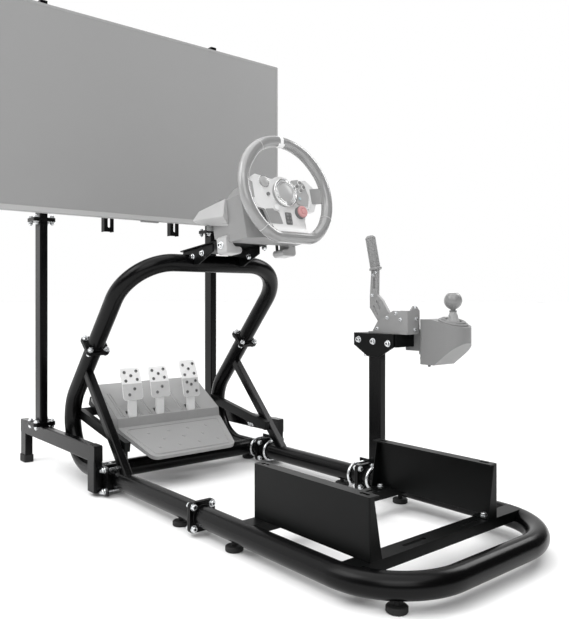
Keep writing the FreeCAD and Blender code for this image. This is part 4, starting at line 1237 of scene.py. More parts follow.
@dataclass
class ScreenStand(Assembly):
    """Floor rails, posts, crossbars and clamps."""

    skins: Skins = (
        Skin.many(POWDER_BLACK, Slot.BLACK, 0.9,
                  "stand_rails", "lower_posts", "upper_posts", "screen_crossbars")
        + Skin.many(POWDER_SHEET, Slot.BLACK, 0.7, "screen_arms")
        + Skin.many(FOOT_RUBBER, Slot.RUBBER, 1.6, "stand_feet")
        + Skin.many(ZINC_PLATE, Slot.ZINC, 0.6, "u_bolts")
    )
    flange: float = 70.0
    plate: float = 6.0
    hole_offset: float = 25.0
    post_width: float = 25.0
    post_depth: float = 45.0
    rod_pitch: float = 70.0
    rod_rise: float = 29.3
    bar_screw_scale: float = 0.9
    plug_play: float = 1.0
    plug_corner: float = 3.5
    plug_thick: float = 2.2
    plug_bevel: float = 0.8

    def details(self) -> None:
        """Add the stand's bolts, nuts and end plugs."""
        post = Extent.of("lower_posts")
        x = post.hi.x - self.flange / 2
        screws = []
        nuts = []
        for side, z in product(SIDES, (post.lo.z, post.hi.z)):
            middle = facing(ROW.at(side * x, post.mid.y, z), Z_AXIS)
            low, high = flange_bolts(middle, self.hole_offset, self.plate)
            screws += high
            nuts += low
        bars = Extent.of("screen_crossbars")
        rise = self.post_depth / 2
        levels = (bars.lo.z + rise, bars.hi.z - rise)
        for side, z, step in product(SIDES, levels, SIDES):
            place = ROW.at(side * x, bars.lo.y, z + step * rise / 2)
            screws.append((place, -Y_AXIS, self.bar_screw_scale))
        nuts += self.clamp_nuts(x - self.post_width / 2)
        self.fasten("stand_screws", CAP_SCREW, screws)
        self.fasten("stand_nuts", HEX_NUT, nuts)
        self.plugs(bars, levels)

    def clamp_nuts(self, face: float) -> list[Fastening]:
        """Nuts on the tails of the bent rods.

        Args:
            face: distance of the clamp plates' outer faces from the middle plane.

        Returns:
            Place, axis and scale of each nut.
        """
        sides = Extent.of("side_tubes")
        spots = []
        for side, y in ((1, sides.lo.y), (1, sides.hi.y), (-1, sides.hi.y)):
            for step, rise in product(SIDES, SIDES):
                along = y + step * self.rod_pitch / 2
                place = ROW.at(side * face, along, sides.mid.z + rise * self.rod_rise)
                spots.append((place, X_AXIS * side, 1.0))
        return spots

    def plugs(self, bars: Extent, levels: Point2) -> None:
        """Add plugs in the ends of the crossbars.

        Args:
            bars: box of the crossbars.
            levels: height of each crossbar's middle.
        """
        inside = rectangle(self.post_width - self.plug_play, self.post_depth - self.plug_play)
        outline = rounded_outline(inside, self.plug_corner)
        made = []
        for side, z in product(SIDES, levels):
            end = bars.hi.x if side > 0 else bars.lo.x
            run = sorted((end, end + side * self.plug_thick))
            made.append(slab(shifted(outline, bars.mid.y, z), *run))
        self.piece("crossbar_plugs", joined(made), [FOOT_RUBBER], Slot.RUBBER, ROW.sideways(),
                   self.plug_bevel)


@dataclass
class Screen(Assembly):
    """Flat screen: case, glass, lower strip, sensor tab and back vents."""

    skins: Skins = Skin.many(SCREEN_ABS, Slot.SCREEN, 2.0, "screen_housing")
    chin: float = 18.0
    strip_inset: Point2 = (4.0, 3.0)
    strip_corner: float = 3.0
    strip_run: Point2 = (-1.0, 0.5)
    strip_bevel: float = 0.3
    tab: Plate = Plate("screen_sensor_tab", GLOSS_ABS, tuple(rectangle(64.0, 10.0)), corner=2.0, low=-14.0,
                       high=-1.0, bevel=1.2, slot=Slot.SCREEN)
    vents: tuple[int, int] = (46, 3)
    vent_part: float = 0.62
    vent_rows: float = 44.0
    vent_size: Point3 = (4.0, 16.0, 1.6)
    vent_level: float = 0.60

    def details(self) -> None:
        """Coat the glass and add the strip, the tab and the vents."""
        glass = self.frame["nodes"]["screen_panel"]
        glass.data.materials.clear()
        glass.data.materials.append(SCREEN_GLASS.material())
        case = Extent.of("screen_housing")
        front = Spot(ROW.at(0.0, case.lo.y, case.lo.z), X_AXIS.copy(), Z_AXIS.copy(), -Y_AXIS)
        across, up = self.strip_inset
        strip = rounded_outline(rectangle(case.size.x - across, self.chin - up), self.strip_corner)
        strip = slab(shifted(strip, 0.0, self.chin / 2), *self.strip_run)
        self.piece("screen_lower_strip", strip, [SCREEN_STRIP], Slot.SCREEN, front, self.strip_bevel)
        self.lay(self.tab, front)
        middle = ROW.at(0.0, case.hi.y, case.lo.z + case.size.z * self.vent_level)
        back = Spot(middle, -X_AXIS, Z_AXIS.copy(), Y_AXIS.copy())
        vents = Grid(self.vents, (case.size.x * self.vent_part, self.vent_rows), self.vent_size)
        self.grid("screen_back_vents", Form.SLOT, vents, DARK_ABS, Slot.SCREEN, back)


KEY_STUD: Profile = ((0.0, 0.0), (4.4, 0.0), (4.4, 4.0), (3.6, 4.9), (0.0, 5.3))


@dataclass
class SteeringWheel(Assembly):
    """Wheel with a stitched rim, face plates, keys and a selector dial."""

    body: str = "steering_wheel"
    skins: Skins = (
        Skin.many(GREY_ABS, Slot.METAL, 1.2, "steering_boss")
        + Skin.many(DARK_ABS, Slot.METAL, 0.7, "shift_paddles")
    )
    spokes: Skin = Skin("steering_spokes", SILVER_ABS, Slot.METAL, 1.0)
    arm_from: float = 104.0
    low_arm: Point2 = (-48.0, -40.0)
    dish: float = 16.0

    rim_radius: float = 138.0
    section: float = 15.0
    flat: float = 124.0
    corner: float = 50.0
    steps: int = 160
    arc_steps: int = 400
    around: int = 28
    swell_deg: float = 38.0
    swell_spread_deg: float = 11.0
    swell_in: float = 0.16
    swell_out: float = 0.02
    band_width: float = 15.0
    stitch: Bead = Bead(pitch=5.4, length=4.2, width=1.3, height=1.3)
    stitch_proud: float = 0.1
    seams_deg: tuple[float, ...] = (122.0, 227.0, 331.0)
    seam_proud: float = 0.35
    seam_section: Point2 = (0.5, 0.9)
    seam_steps: tuple[int, int] = (40, 8)

    hub_rings: tuple[Point3, ...] = ((35.4, 10.8, 2.6), (30.6, 12.0, 1.5), (26.4, 11.2, 1.2))
    hub_screws: int = 6
    hub_screw_from_deg: float = 30.0
    hub_screw_at: Point2 = (32.8, 11.2)
    hub_screw_scale: float = 0.34
    thumb_at: Point2 = (-60.0, 28.0)
    thumb_ring: Point3 = (15.4, 1.4, 1.6)
    diamond: tuple[tuple[int, int], ...] = ((1, 0), (-1, 0), (0, 1), (0, -1))
    diamond_at: Point2 = (60.0, 25.0)
    diamond_pitch: Point2 = (12.0, 11.0)
    key_cap: Profile = ((0.0, 2.4), (4.8, 2.4), (4.8, 5.4), (4.0, 6.4), (2.4, 6.9), (0.0, 7.0))
    key_bezel: Profile = ((0.0, 2.4), (6.2, 2.4), (6.2, 3.4), (5.4, 4.0), (0.0, 4.0))
    key_steps: int = 24
    bar_key: Point2 = (8.0, 6.4)
    bar_key_corner: float = 1.4
    bar_key_run: Point2 = (1.9, 4.2)
    bar_key_bevel: float = 0.6
    bar_key_columns: Point2 = (0.0, 10.0)
    bar_key_rows: Point3 = (-57.0, -67.0, -77.0)
    dial_at: Point2 = (47.0, -48.3)
    dial_radius: float = 15.0
    knurl: Bead = Bead(pitch=3.1, length=1.6, width=1.7, height=1.7)
    knurl_rises: Point2 = (10.6, 12.6)

    plates: tuple[Plate, ...] = (
        Plate("right_key_panel", SATIN_SILVER, (
            (42.0, -25.0), (78.0, -28.0), (87.0, 2.0), (76.0, 36.0), (56.0, 45.0), (30.0, 40.0),
        ), corner=6.0, high=2.6, bevel=0.8),
        Plate("lower_left_panel", TRAY_ABS, (
            (-58.0, -77.0), (-57.0, -83.0), (-17.0, -83.0), (-24.0, -54.0), (-44.0, -43.0), (-68.0, -46.0),
        ), corner=2.0, high=1.6, bevel=0.6),
        Plate("right_edge_trim", SILVER_ABS, (
            (88.0, -10.0), (74.0, -36.0), (82.0, -36.0), (91.0, -16.0), (93.0, 6.0), (86.0, 14.0),
        ), corner=1.6, high=3.6, bevel=0.7, slot=Slot.METAL),
        Plate("bar_key_bay", DARK_ABS, ((-5.5, -83.5), (15.5, -83.5), (15.5, -50.5), (-5.5, -50.5)),
              corner=3.0, high=2.0, bevel=0.6),
    )
    turned: tuple[Turned, ...] = (
        Turned("hub_cap", SATIN_SILVER, (
            (0.0, 0.2), (36.0, 0.2), (36.0, 9.0), (33.0, 12.0), (28.0, 12.0), (27.0, 10.0), (24.0, 11.0),
            (16.0, 13.4), (8.0, 14.4), (0.0, 14.8),
        ), steps=64, bevel=0.5, stands_for=("hub_disc",)),
        Turned("thumb_pad", SATIN_SILVER, (
            (0.0, 0.1), (14.5, 0.1), (14.5, 3.2), (13.6, 4.6), (10.0, 6.4), (5.0, 7.6), (0.0, 8.0),
        ), thumb_at, steps=40),
        Turned("mode_key", DARK_ABS, KEY_STUD, (-52.0, -5.0), steps=20),
        Turned("pale_key", PALE_BLUE_ABS, KEY_STUD, (53.0, -9.0), steps=20),
        Turned("left_dial", SILVER_ABS, (
            (0.0, 0.1), (9.0, 0.1), (9.0, 2.0), (8.2, 2.6), (8.2, 7.2), (7.2, 8.4), (0.0, 8.8),
        ), (-34.0, -41.0), steps=32, bevel=0.4),
        Turned("dial_skirt", DARK_ABS, (
            (0.0, 0.1), (17.0, 0.1), (17.0, 8.0), (15.8, 9.2), (0.0, 9.2),
        ), dial_at, bevel=0.5),
        Turned("selector_dial", DIAL_RED, (
            (0.0, 9.0), (15.0, 9.0), (15.0, 14.0), (13.4, 15.8), (9.6, 16.0), (8.8, 14.8), (0.0, 14.4),
        ), dial_at, bevel=0.5),
        Turned("dial_button", DIAL_RED, (
            (0.0, 14.2), (6.4, 14.2), (6.4, 16.2), (5.4, 17.2), (0.0, 17.6),
        ), dial_at, steps=32, bevel=0.3),
    )

    def spot(self) -> Spot:
        """Axes of the wheel: x right, y up the wheel, z to the driver."""
        turn = self.joint("wheel_turn")
        axis = Vector(turn["axis"]).normalized()
        return Spot(Vector(turn["pos_m"]), X_AXIS.copy(), axis.cross(X_AXIS), axis)

    def details(self) -> None:
        """Add the rim, the painted spokes and everything on the face."""
        spot = self.spot()
        face = spot.shift(0.0, 0.0, -self.dish)
        self.rim(spot)
        low_x, low_y = self.low_arm
        low_z = spot.at(0.0, low_y).z / MM

        def outer(middle: Vector) -> int:
            """Finish number of a face: the grey arms and lower left edges, or the bright plate."""
            low = middle.x < low_x and middle.z < low_z
            return 1 if low or abs(middle.x) > self.arm_from else 0

        self.dress(self.spokes, TRAY_ABS, outer)
        for plate in self.plates:
            self.lay(plate, face)
        for item in self.turned:
            self.turn(item, face)
        self.hub(face)
        self.keys(face)

    def rim_line(self) -> list[Vector]:
        """Even points along the middle of the rim, from the foot's middle, to the right and up."""
        drop = self.flat - self.corner
        side = math.sqrt((self.rim_radius - self.corner) ** 2 - drop ** 2)
        turn = math.degrees(math.atan2(side, drop))
        arcs = (
            (side, -drop, self.corner, -90.0, -90.0 + turn),
            (0.0, 0.0, self.rim_radius, -90.0 + turn, 270.0 - turn),
            (-side, -drop, self.corner, 270.0 - turn, 270.0),
        )
        fine = [Vector((0.0, -self.flat, 0.0))]
        for x, y, radius, start, end in arcs:
            for i in range(self.arc_steps + 1):
                angle = math.radians(start + (end - start) * i / self.arc_steps)
                fine.append(Vector((x + radius * math.cos(angle), y + radius * math.sin(angle), 0.0)))
        fine.append(fine[0].copy())
        runs = [0.0]
        for a, b in pairwise(fine):
            runs.append(runs[-1] + (b - a).length)
        found = []
        index = 0
        for step in range(self.steps):
            goal = runs[-1] * step / self.steps
            while runs[index + 1] < goal:
                index += 1
            part = (goal - runs[index]) / max(runs[index + 1] - runs[index], POLE_MM)
            found.append(fine[index].lerp(fine[index + 1], part))
        return found

    def rim_frames(self) -> list[tuple[Vector, Vector]]:
        """Points of the rim's middle line with the outward direction at each."""
        line = self.rim_line()
        count = len(line)
        frames = []
        for i, point in enumerate(line):
            along = (line[(i + 1) % count] - line[i - 1]).normalized()
            frames.append((point, along.cross(Z_AXIS)))
        return frames

    def swell(self, point: Vector) -> float:
        """Extra inward swell of the grips beside ten and two o'clock, 0 to 1."""
        angle = math.degrees(math.atan2(point.y, abs(point.x)))
        return math.exp(-((angle - self.swell_deg) / self.swell_spread_deg) ** 2)

    def rim(self, spot: Spot) -> None:
        """Sweep the rim and add stitches and seams.

        Args:
            spot: axes of the wheel.
        """
        rows = []
        inner = []
        frames = self.rim_frames()
        for point, outward in frames:
            row = []
            bump = self.swell(point)
            for angle in angles(self.around):
                out = math.cos(angle)
                grow = self.swell_in if out < 0 else self.swell_out
                reach = self.section * (1.0 + grow * bump * abs(out))
                row.append(point + outward * (reach * out) - Z_AXIS * (self.section * math.sin(angle)))
            rows.append(row)
            depth = self.section * (1.0 + self.swell_in * bump) + self.stitch_proud
            inner.append(spot.at(*(point - outward * depth)))
        half = self.band_width / 2

        def band(middle: Vector) -> int:
            """Finish number of a face: the band at the top or the hide."""
            return 1 if abs(middle.x) < half and middle.y > 0 else 0

        self.piece("rim_hide", lofted(rows, True), [RIM_HIDE, RIM_BAND], Slot.LEATHER, spot,
                   stands_for=("steering_rim",), paint=band)
        self.beads("rim_stitches", [inner], self.stitch, THREAD, Slot.LEATHER)
        self.seams(spot, frames)

    def seams(self, spot: Spot, frames: list[tuple[Vector, Vector]]) -> None:
        """Add the raised seams round the rim's section.

        Args:
            spot: axes of the wheel.
            frames: points of the rim's middle line with the outward direction at each.
        """
        steps, sides = self.seam_steps
        wide, tall = self.seam_section
        middle = self.section + self.seam_proud
        ring = [(middle + wide * math.cos(a), tall * math.sin(a)) for a in angles(sides)]
        made = []
        for degrees in self.seams_deg:
            goal = Vector((math.cos(math.radians(degrees)), math.sin(math.radians(degrees)), 0.0))
            point, outward = max(frames, key=lambda frame: frame[0].normalized().dot(goal))
            axes = Matrix((outward, Z_AXIS, Z_AXIS.cross(outward))).transposed().to_4x4()
            seam = lathe(ring, steps, True)
            seam.transform(Matrix.Translation(point) @ axes)
            made.append(seam)
        self.piece("rim_seams", joined(made), [THREAD], Slot.LEATHER, spot)

    def hub(self, face: Spot) -> None:
        """Add the hub's rings and screws.

        Args:
            face: axes on the face of the spokes.
        """
        rings = [torus(*ring) for ring in self.hub_rings]
        self.piece("hub_rings", joined(rings), [CHROME], Slot.METAL, face)
        reach, rise = self.hub_screw_at
        start = math.radians(self.hub_screw_from_deg)
        spots = []
        for angle in angles(self.hub_screws):
            place = face.at(reach * math.cos(start + angle), reach * math.sin(start + angle), rise)
            spots.append((place, face.z, self.hub_screw_scale))
        self.fasten("hub_screws", CAP_SCREW, spots)

    def keys(self, face: Spot) -> None:
        """Add the round keys, the bar keys, the thumb pad's ring and the dial's knurl.

        Args:
            face: axes on the face of the spokes.
        """
        (x, y), (across, up) = self.diamond_at, self.diamond_pitch
        places = [(x + a * across, y + b * up) for a, b in self.diamond]
        caps = [moved(lathe(self.key_cap, self.key_steps), *place) for place in places]
        self.piece("round_keys", joined(caps), [GLOSS_ABS], Slot.PLASTIC, face, stands_for=("wheel_buttons",))
        bezels = [moved(lathe(self.key_bezel, self.key_steps), *place) for place in places]
        self.piece("round_key_bezels", joined(bezels), [SILVER_ABS], Slot.PLASTIC, face)
        outline = rounded_outline(rectangle(*self.bar_key), self.bar_key_corner)
        places = product(self.bar_key_columns, self.bar_key_rows)
        bars = [slab(shifted(outline, *place), *self.bar_key_run) for place in places]
        self.piece("bar_keys", joined(bars), [GREY_ABS], Slot.PLASTIC, face, self.bar_key_bevel)
        ring = moved(torus(*self.thumb_ring), *self.thumb_at)
        self.piece("thumb_pad_ring", ring, [CHROME], Slot.METAL, face)
        dial = face.shift(*self.dial_at)
        loops = [ring_points(dial, self.dial_radius, rise) for rise in self.knurl_rises]
        self.beads("dial_knurl", loops, self.knurl, DIAL_RED, Slot.PLASTIC)


@dataclass
class WheelBase(Assembly):
    """Wheel deck, ears, wheel base housing and its clamps."""

    skins: Skins = (
        Skin.many(POWDER_SHEET, Slot.BLACK, 0.8, "wheel_deck")
        + Skin.many(POWDER_SHEET, Slot.BLACK, 1.0, "wheel_ears")
    )
    housing: Skin = Skin("wheel_base", GREY_ABS, Slot.PLASTIC, 3.0)
    wing_from: float = 112.5
    wing_inner: float = 104.0
    wing_bevel: float = 1.6
    wing_points: tuple[Point3, ...] = (
        (116.6, 11.6, -113.0), (116.6, 20.6, -238.0), (128.0, -1.0, -258.0), (128.0, -36.0, -117.0),
        (110.0, -17.0, -242.0), (110.0, -60.0, -122.0),
    )

    deck_edge: Point2 = (202.8, 679.1)
    deck_tilt: float = -6.0
    clamp_run: Point2 = (234.0, 278.0)
    clamp_line: Profile = (
        (95.0, 2.5), (95.0, -26.0), (68.0, -26.0), (68.0, -45.5), (119.0, -45.5), (119.0, 2.5),
    )
    clamp_corner: float = 9.0
    clamp_bevel: float = 3.5
    clamp_screw_drop: float = -22.0
    clamp_screw_scale: float = 1.2
    pad_at: Point2 = (80.0, -242.0)
    pad_profile: Profile = ((0.0, -27.0), (4.0, -27.0), (4.0, -8.0), (8.0, -6.0), (8.0, -0.2), (0.0, -0.2))
    pad_steps: int = 32

    ear_wall: float = 5.0
    left_ear_screws: Profile = ((140.0, 663.5), (91.0, 672.0))
    left_ear_holes: Profile = ((99.0, 691.0), (78.0, 660.0))
    right_ear_screws: Profile = ((85.0, 667.0), (11.0, 690.0))

    ray_top: float = 2000.0
    ray_foot: float = 600.0
    hatch_at: Point2 = (-84.0, 0.0)
    hatch: Plate = Plate("base_hatch", GREY_ABS, tuple(rectangle(24.0, 30.0)), corner=4.0, low=-12.0,
                         high=17.0, bevel=1.6)
    drum_inset: float = 15.0
    drum_ahead: float = 22.0
    drum_sunk: float = 6.0
    drum_profile: Profile = (
        (0.0, -28.0), (9.0, -28.0), (11.0, -26.0), (11.0, -8.0), (9.0, -6.0), (6.0, -6.0), (6.0, 0.0),
        (0.0, 0.0),
    )
    drum_radius: float = 11.0
    drum_steps: int = 36
    drum_bevel: float = 0.5
    knurl: Bead = Bead(pitch=3.0, length=1.6, width=1.7, height=1.7)
    knurl_rises: tuple[float, ...] = (-24.0, -19.0, -14.0, -10.0)

    def details(self) -> None:
        """Add the painted housing, clamps, wing covers, ear screws, hatch and drums."""

        def wing(middle: Vector) -> int:
            """Finish number of a face: the bright wings or the grey body."""
            return 1 if abs(middle.x) > self.wing_from else 0

        self.dress(self.housing, SATIN_SILVER, wing)
        self.clamps()
        self.wing_covers()
        self.ears()
        self.trim()

    def ears(self) -> None:
        """Add the screws of the ears, and flat dark discs of painted shade where their open holes are."""
        ears = Extent.of("wheel_ears")
        spots = [(ROW.at(ears.lo.x, y, z), -X_AXIS, 1.0) for y, z in self.left_ear_screws]
        inner = -ears.lo.x - self.ear_wall
        spots += [(ROW.at(inner, y, z), -X_AXIS, 1.0) for y, z in self.right_ear_screws]
        spots += [(ROW.at(ears.hi.x, y, z), X_AXIS, 1.0) for y, z in self.left_ear_screws]
        self.fasten("ear_screws", CAP_SCREW, spots)
        holes = []
        for side, (y, z) in product(SIDES, self.left_ear_holes):
            holes.append((ROW.at(side * ears.hi.x, y, z), X_AXIS * side, 1.0))
        # The holes are flat dark discs: painted shade in place of real openings.
        self.fasten("ear_holes", HOLE_SHADE_DISC, holes, slot=Slot.BLACK)

    def clamps(self) -> None:
        """Add a rounded clamp on each side of the deck, with its screw and its pad under the sheet."""
        deck = tilted(ROW.at(0.0, *self.deck_edge), self.deck_tilt)
        legs = []
        pads = []
        screws = []
        x, y = self.pad_at
        outer = self.clamp_line[-1][0]
        for side in SIDES:
            outline = rounded_outline([(side * a, b) for a, b in self.clamp_line], self.clamp_corner)
            legs.append(slab(outline, *self.clamp_run))
            pads.append(moved(lathe(self.pad_profile, self.pad_steps), side * x, y))
            place = deck.at(side * outer, -sum(self.clamp_run) / 2, self.clamp_screw_drop)
            screws.append((place, X_AXIS * side, self.clamp_screw_scale))
        across = Spot(deck.origin, deck.x, deck.z, -deck.y)
        self.piece("clamp_legs", joined(legs), [SATIN_SILVER], Slot.PLASTIC, across, self.clamp_bevel,
                   ("wheel_clamps",))
        self.piece("clamp_pads", joined(pads), [FOOT_RUBBER], Slot.PLASTIC, deck)
        self.fasten("clamp_screws", CAP_SCREW, screws)

    def wing_covers(self) -> None:
        """Add a creased cover over each wing, in the wheel's axes."""
        covers = []
        for side in SIDES:
            cover = bmesh.new()
            for x, y, z in self.wing_points:
                cover.verts.new((side * x, y, z))
                cover.verts.new((side * self.wing_inner, y, z))
            bmesh.ops.convex_hull(cover, input=cover.verts)
            flattened(cover)
            bmesh.ops.recalc_face_normals(cover, faces=cover.faces)
            covers.append(cover)
        spot = SteeringWheel(self.frame).spot()
        self.piece("wing_covers", joined(covers), [SATIN_SILVER], Slot.PLASTIC, spot, self.wing_bevel)

    def trim(self) -> None:
        """Add the hatch on the housing and the knurled drums under the wings."""
        mesh = self.mesh("wheel_base")
        x, y = self.hatch_at
        seat, _ = met(mesh, ROW.at(x, y, self.ray_top), -Z_AXIS)
        self.lay(self.hatch, Spot(seat))
        reach = Extent.of("wheel_base").hi.x - self.drum_inset
        drums = []
        loops = []
        for side in SIDES:
            under, _ = met(mesh, ROW.at(side * reach, y + self.drum_ahead, self.ray_foot), Z_AXIS)
            spot = Spot(under).shift(0.0, 0.0, self.drum_sunk)
            drum = lathe(self.drum_profile, self.drum_steps)
            drum.transform(Matrix.Translation(spot.origin / MM))
            drums.append(drum)
            loops += [ring_points(spot, self.drum_radius, rise) for rise in self.knurl_rises]
        self.piece("clamp_drums", joined(drums), [DARK_ABS], Slot.PLASTIC, ROW, self.drum_bevel)
        self.beads("clamp_drum_knurl", loops, self.knurl, DARK_ABS, Slot.PLASTIC)


@dataclass
class PedalSet(Assembly):
    """Pedal deck, tray, heel plate and three studded pedals."""

    skins: Skins = (
        Skin.many(POWDER_SHEET, Slot.BLACK, 0.8, "pedal_deck", "pedal_brackets")
        + Skin.many(TRAY_ABS, Slot.PLASTIC, 3.0, "pedal_tray")
    )
    pedals: tuple[str, ...] = ("clutch", "brake", "accelerator")
    tilt: float = 22.0
    arm_bevel: float = 0.8
    pad_bevel: float = 0.9
    # Share of the pad's height below the fold, where the painted shade ends and the painted light begins.
    fold_part: float = 0.513
    stud_ray: float = 100.0
    pad_studs: Profile = (
        (0.88, 0.60), (0.86, -0.60), (0.75, 0.0), (0.62, 0.58), (0.60, -0.58), (0.34, 0.20), (0.17, -0.35),
    )
    accelerator_studs: Profile = pad_studs[:5] + (
        (0.42, 0.60), (0.40, -0.45), (0.33, 0.05), (0.15, 0.60), (0.14, -0.50),
    )

    heel_edge: float = 10.2
    heel_rise_deg: float = 2.37
    heel_run: float = 159.4
    heel_half: Point2 = (142.0, 180.0)
    border_inset: Point2 = (15.0, 13.0)
    border_corner: float = 12.0
    border: Point2 = (6.0, 2.4)
    border_sunk: float = -0.2
    bumps: tuple[Grid, ...] = (
        Grid((4, 2), (204.0, 74.0), (11.0, 11.0, 5.0)),
        Grid((3, 1), (136.0, 0.0), (11.0, 11.0, 5.0)),
    )
    bump_sunk: float = -0.4

    upper_foot: Point2 = (172.5, 39.6)
    upper_rise_deg: float = 8.6
    rib: Point2 = (5.0, 2.6)
    rib_sunk: float = -0.3
    rib_steps: tuple[float, ...] = (-34.0, -26.0, 26.0, 34.0)
    rib_runs: tuple[float, ...] = (8.0, 30.0, 60.0, 90.0, 122.0)

    lip_half: float = 18.9
    lip_bevel: float = 0.4
    step_lip: Profile = ((159.5, 16.8), (172.5, 39.6), (174.5, 39.9), (174.5, 36.9), (163.5, 17.6))
    far_lip: Profile = ((205.5, 44.5), (230.2, 48.3), (230.2, 44.3), (205.5, 40.5))
    side_lip: Profile = ((174.0, 39.8), (206.0, 44.6), (206.0, 40.6), (174.0, 36.8))
    arm_clear: float = 14.2

    rail_reach: Point2 = (240.0, 258.0)
    rail_line: tuple[Point2, Point2] = ((215.0, 130.0), (529.0, 187.0))
    rail_depth: float = 28.0
    rail_bevel: float = 1.2
    rail_nut_part: float = 0.27
    rail_nut_scale: float = 1.4

    def tray_spot(self) -> Spot:
        """Axes of the tray: x across, y up the slope, z off it, at its lower rear edge."""
        tray = Extent.of("pedal_tray")
        back = self.heel_edge * math.sin(math.radians(self.tilt))
        return tilted(ROW.at(tray.mid.x, tray.lo.y + back, tray.lo.z), self.tilt)

    def details(self) -> None:
        """Add the pedals and the tray's trim."""
        spot = self.tray_spot()
        middles = [Extent.of(name + "_arm").mid.x - spot.origin.x / MM for name in self.pedals]
        self.heel(spot)
        self.ribs(spot, middles)
        for name in self.pedals:
            self.pedal(name, name + "_pedal")
        self.slot_lips(spot, middles)
        self.side_rails()

    def pedal(self, name: str, body: str) -> None:
        """Dress one pedal's arm and its pad, painted lit above the fold and painted shade below it, and set
        the pad's studs.

        Args:
            name: name of the pedal.
            body: body of the pedal.
        """
        node = name + "_pad"
        pad = Extent.of(node)
        fold = pad.lo.z + self.fold_part * pad.size.z

        def half(middle: Vector) -> int:
            """Finish number of a face: the lower half with painted shade or the upper half painted lit."""
            return 1 if middle.z < fold else 0

        self.dress(Skin(name + "_arm", PEDAL_STEM, Slot.METAL, self.arm_bevel, body))
        # The pad's two tones are painted light: lit above the fold, shaded below it.
        self.dress(Skin(node, PEDAL_PAINTED_LIT, Slot.METAL, self.pad_bevel, body), PEDAL_PAINTED_SHADE, half)
        spots = []
        for rise, aside in self.accelerator_studs if name == "accelerator" else self.pad_studs:
            x = pad.mid.x + aside * pad.size.x / 2
            start = ROW.at(x, pad.lo.y - self.stud_ray, pad.lo.z + rise * pad.size.z)
            spots.append((*met(self.mesh(node), start, Y_AXIS), 1.0))
        self.fasten(node + "_studs", PAD_STUD, spots, body, Slot.METAL)

    def heel(self, spot: Spot) -> None:
        """Add the raised border and the bumps of the heel plate.

        Args:
            spot: axes of the tray.
        """
        heel = tilted(spot.at(0.0, 0.0, self.heel_edge), self.tilt + self.heel_rise_deg)
        inset, ahead = self.border_inset
        near, far = (half - inset for half in self.heel_half)
        end = self.heel_run - ahead
        corners = [(-near, ahead), (near, ahead), (far, end), (-far, end)]
        line = [Vector((*point, self.border_sunk)) for point in rounded_outline(corners, self.border_corner)]
        self.piece("heel_border", ridge(line, *self.border, True), [TRAY_ABS], Slot.PLASTIC, heel)
        middle = heel.shift(0.0, self.heel_run / 2, self.bump_sunk)
        for index, bumps in enumerate(self.bumps):
            self.grid(f"heel_bumps_{index}", Form.DOME, bumps, TRAY_ABS, Slot.PLASTIC, middle)

    def ribs(self, spot: Spot, middles: Sequence[float]) -> None:
        """Add the low ribs beside the arms on the tray's upper part.

        Args:
            spot: axes of the tray.
            middles: middle of each pedal's arm across the tray.
        """
        upper = tilted(spot.at(0.0, *self.upper_foot), self.tilt + self.upper_rise_deg)
        made = []
        for middle, step in product(middles, self.rib_steps):
            line = [Vector((middle + step, y, self.rib_sunk)) for y in self.rib_runs]
            made.append(ridge(line, *self.rib))
        self.piece("tray_ribs", joined(made), [TRAY_ABS], Slot.PLASTIC, upper)

    def slot_lips(self, spot: Spot, middles: Sequence[float]) -> None:
        """Close the arm slots in the tray's step, beside the arms and behind their stroke.

        Args:
            spot: axes of the tray.
            middles: middle of each pedal's arm across the tray.
        """
        made = []
        for middle in middles:
            for outline in (self.step_lip, self.far_lip):
                made.append(slab(outline, middle - self.lip_half, middle + self.lip_half))
            for side in SIDES:
                edges = sorted(middle + side * reach for reach in (self.arm_clear, self.lip_half))
                made.append(slab(self.side_lip, *edges))
        self.piece("slot_lips", joined(made), [TRAY_ABS], Slot.PLASTIC, spot.sideways(), self.lip_bevel)

    def side_rails(self) -> None:
        """Add the rail on each side of the deck, from the brace up to the bracket's bar, with its nut."""
        start, end = (Vector(point) for point in self.rail_line)
        along = (end - start).normalized()
        rise = Vector((-along.y, along.x)) * (self.rail_depth / 2)
        outline = [start - rise, end - rise, end + rise, start + rise]
        under = start.lerp(end, self.rail_nut_part) - rise
        down = Vector((0.0, along.y, -along.x))
        rails = []
        nuts = []
        for side in SIDES:
            rails.append(slab(outline, *sorted(side * reach for reach in self.rail_reach)))
            place = ROW.at(side * sum(self.rail_reach) / 2, *under)
            nuts.append((place, down, self.rail_nut_scale))
        self.piece("deck_side_rails", joined(rails), [POWDER_SHEET], Slot.BLACK, ROW.sideways(),
                   self.rail_bevel)
        self.fasten("deck_rail_nuts", HEX_NUT, nuts)


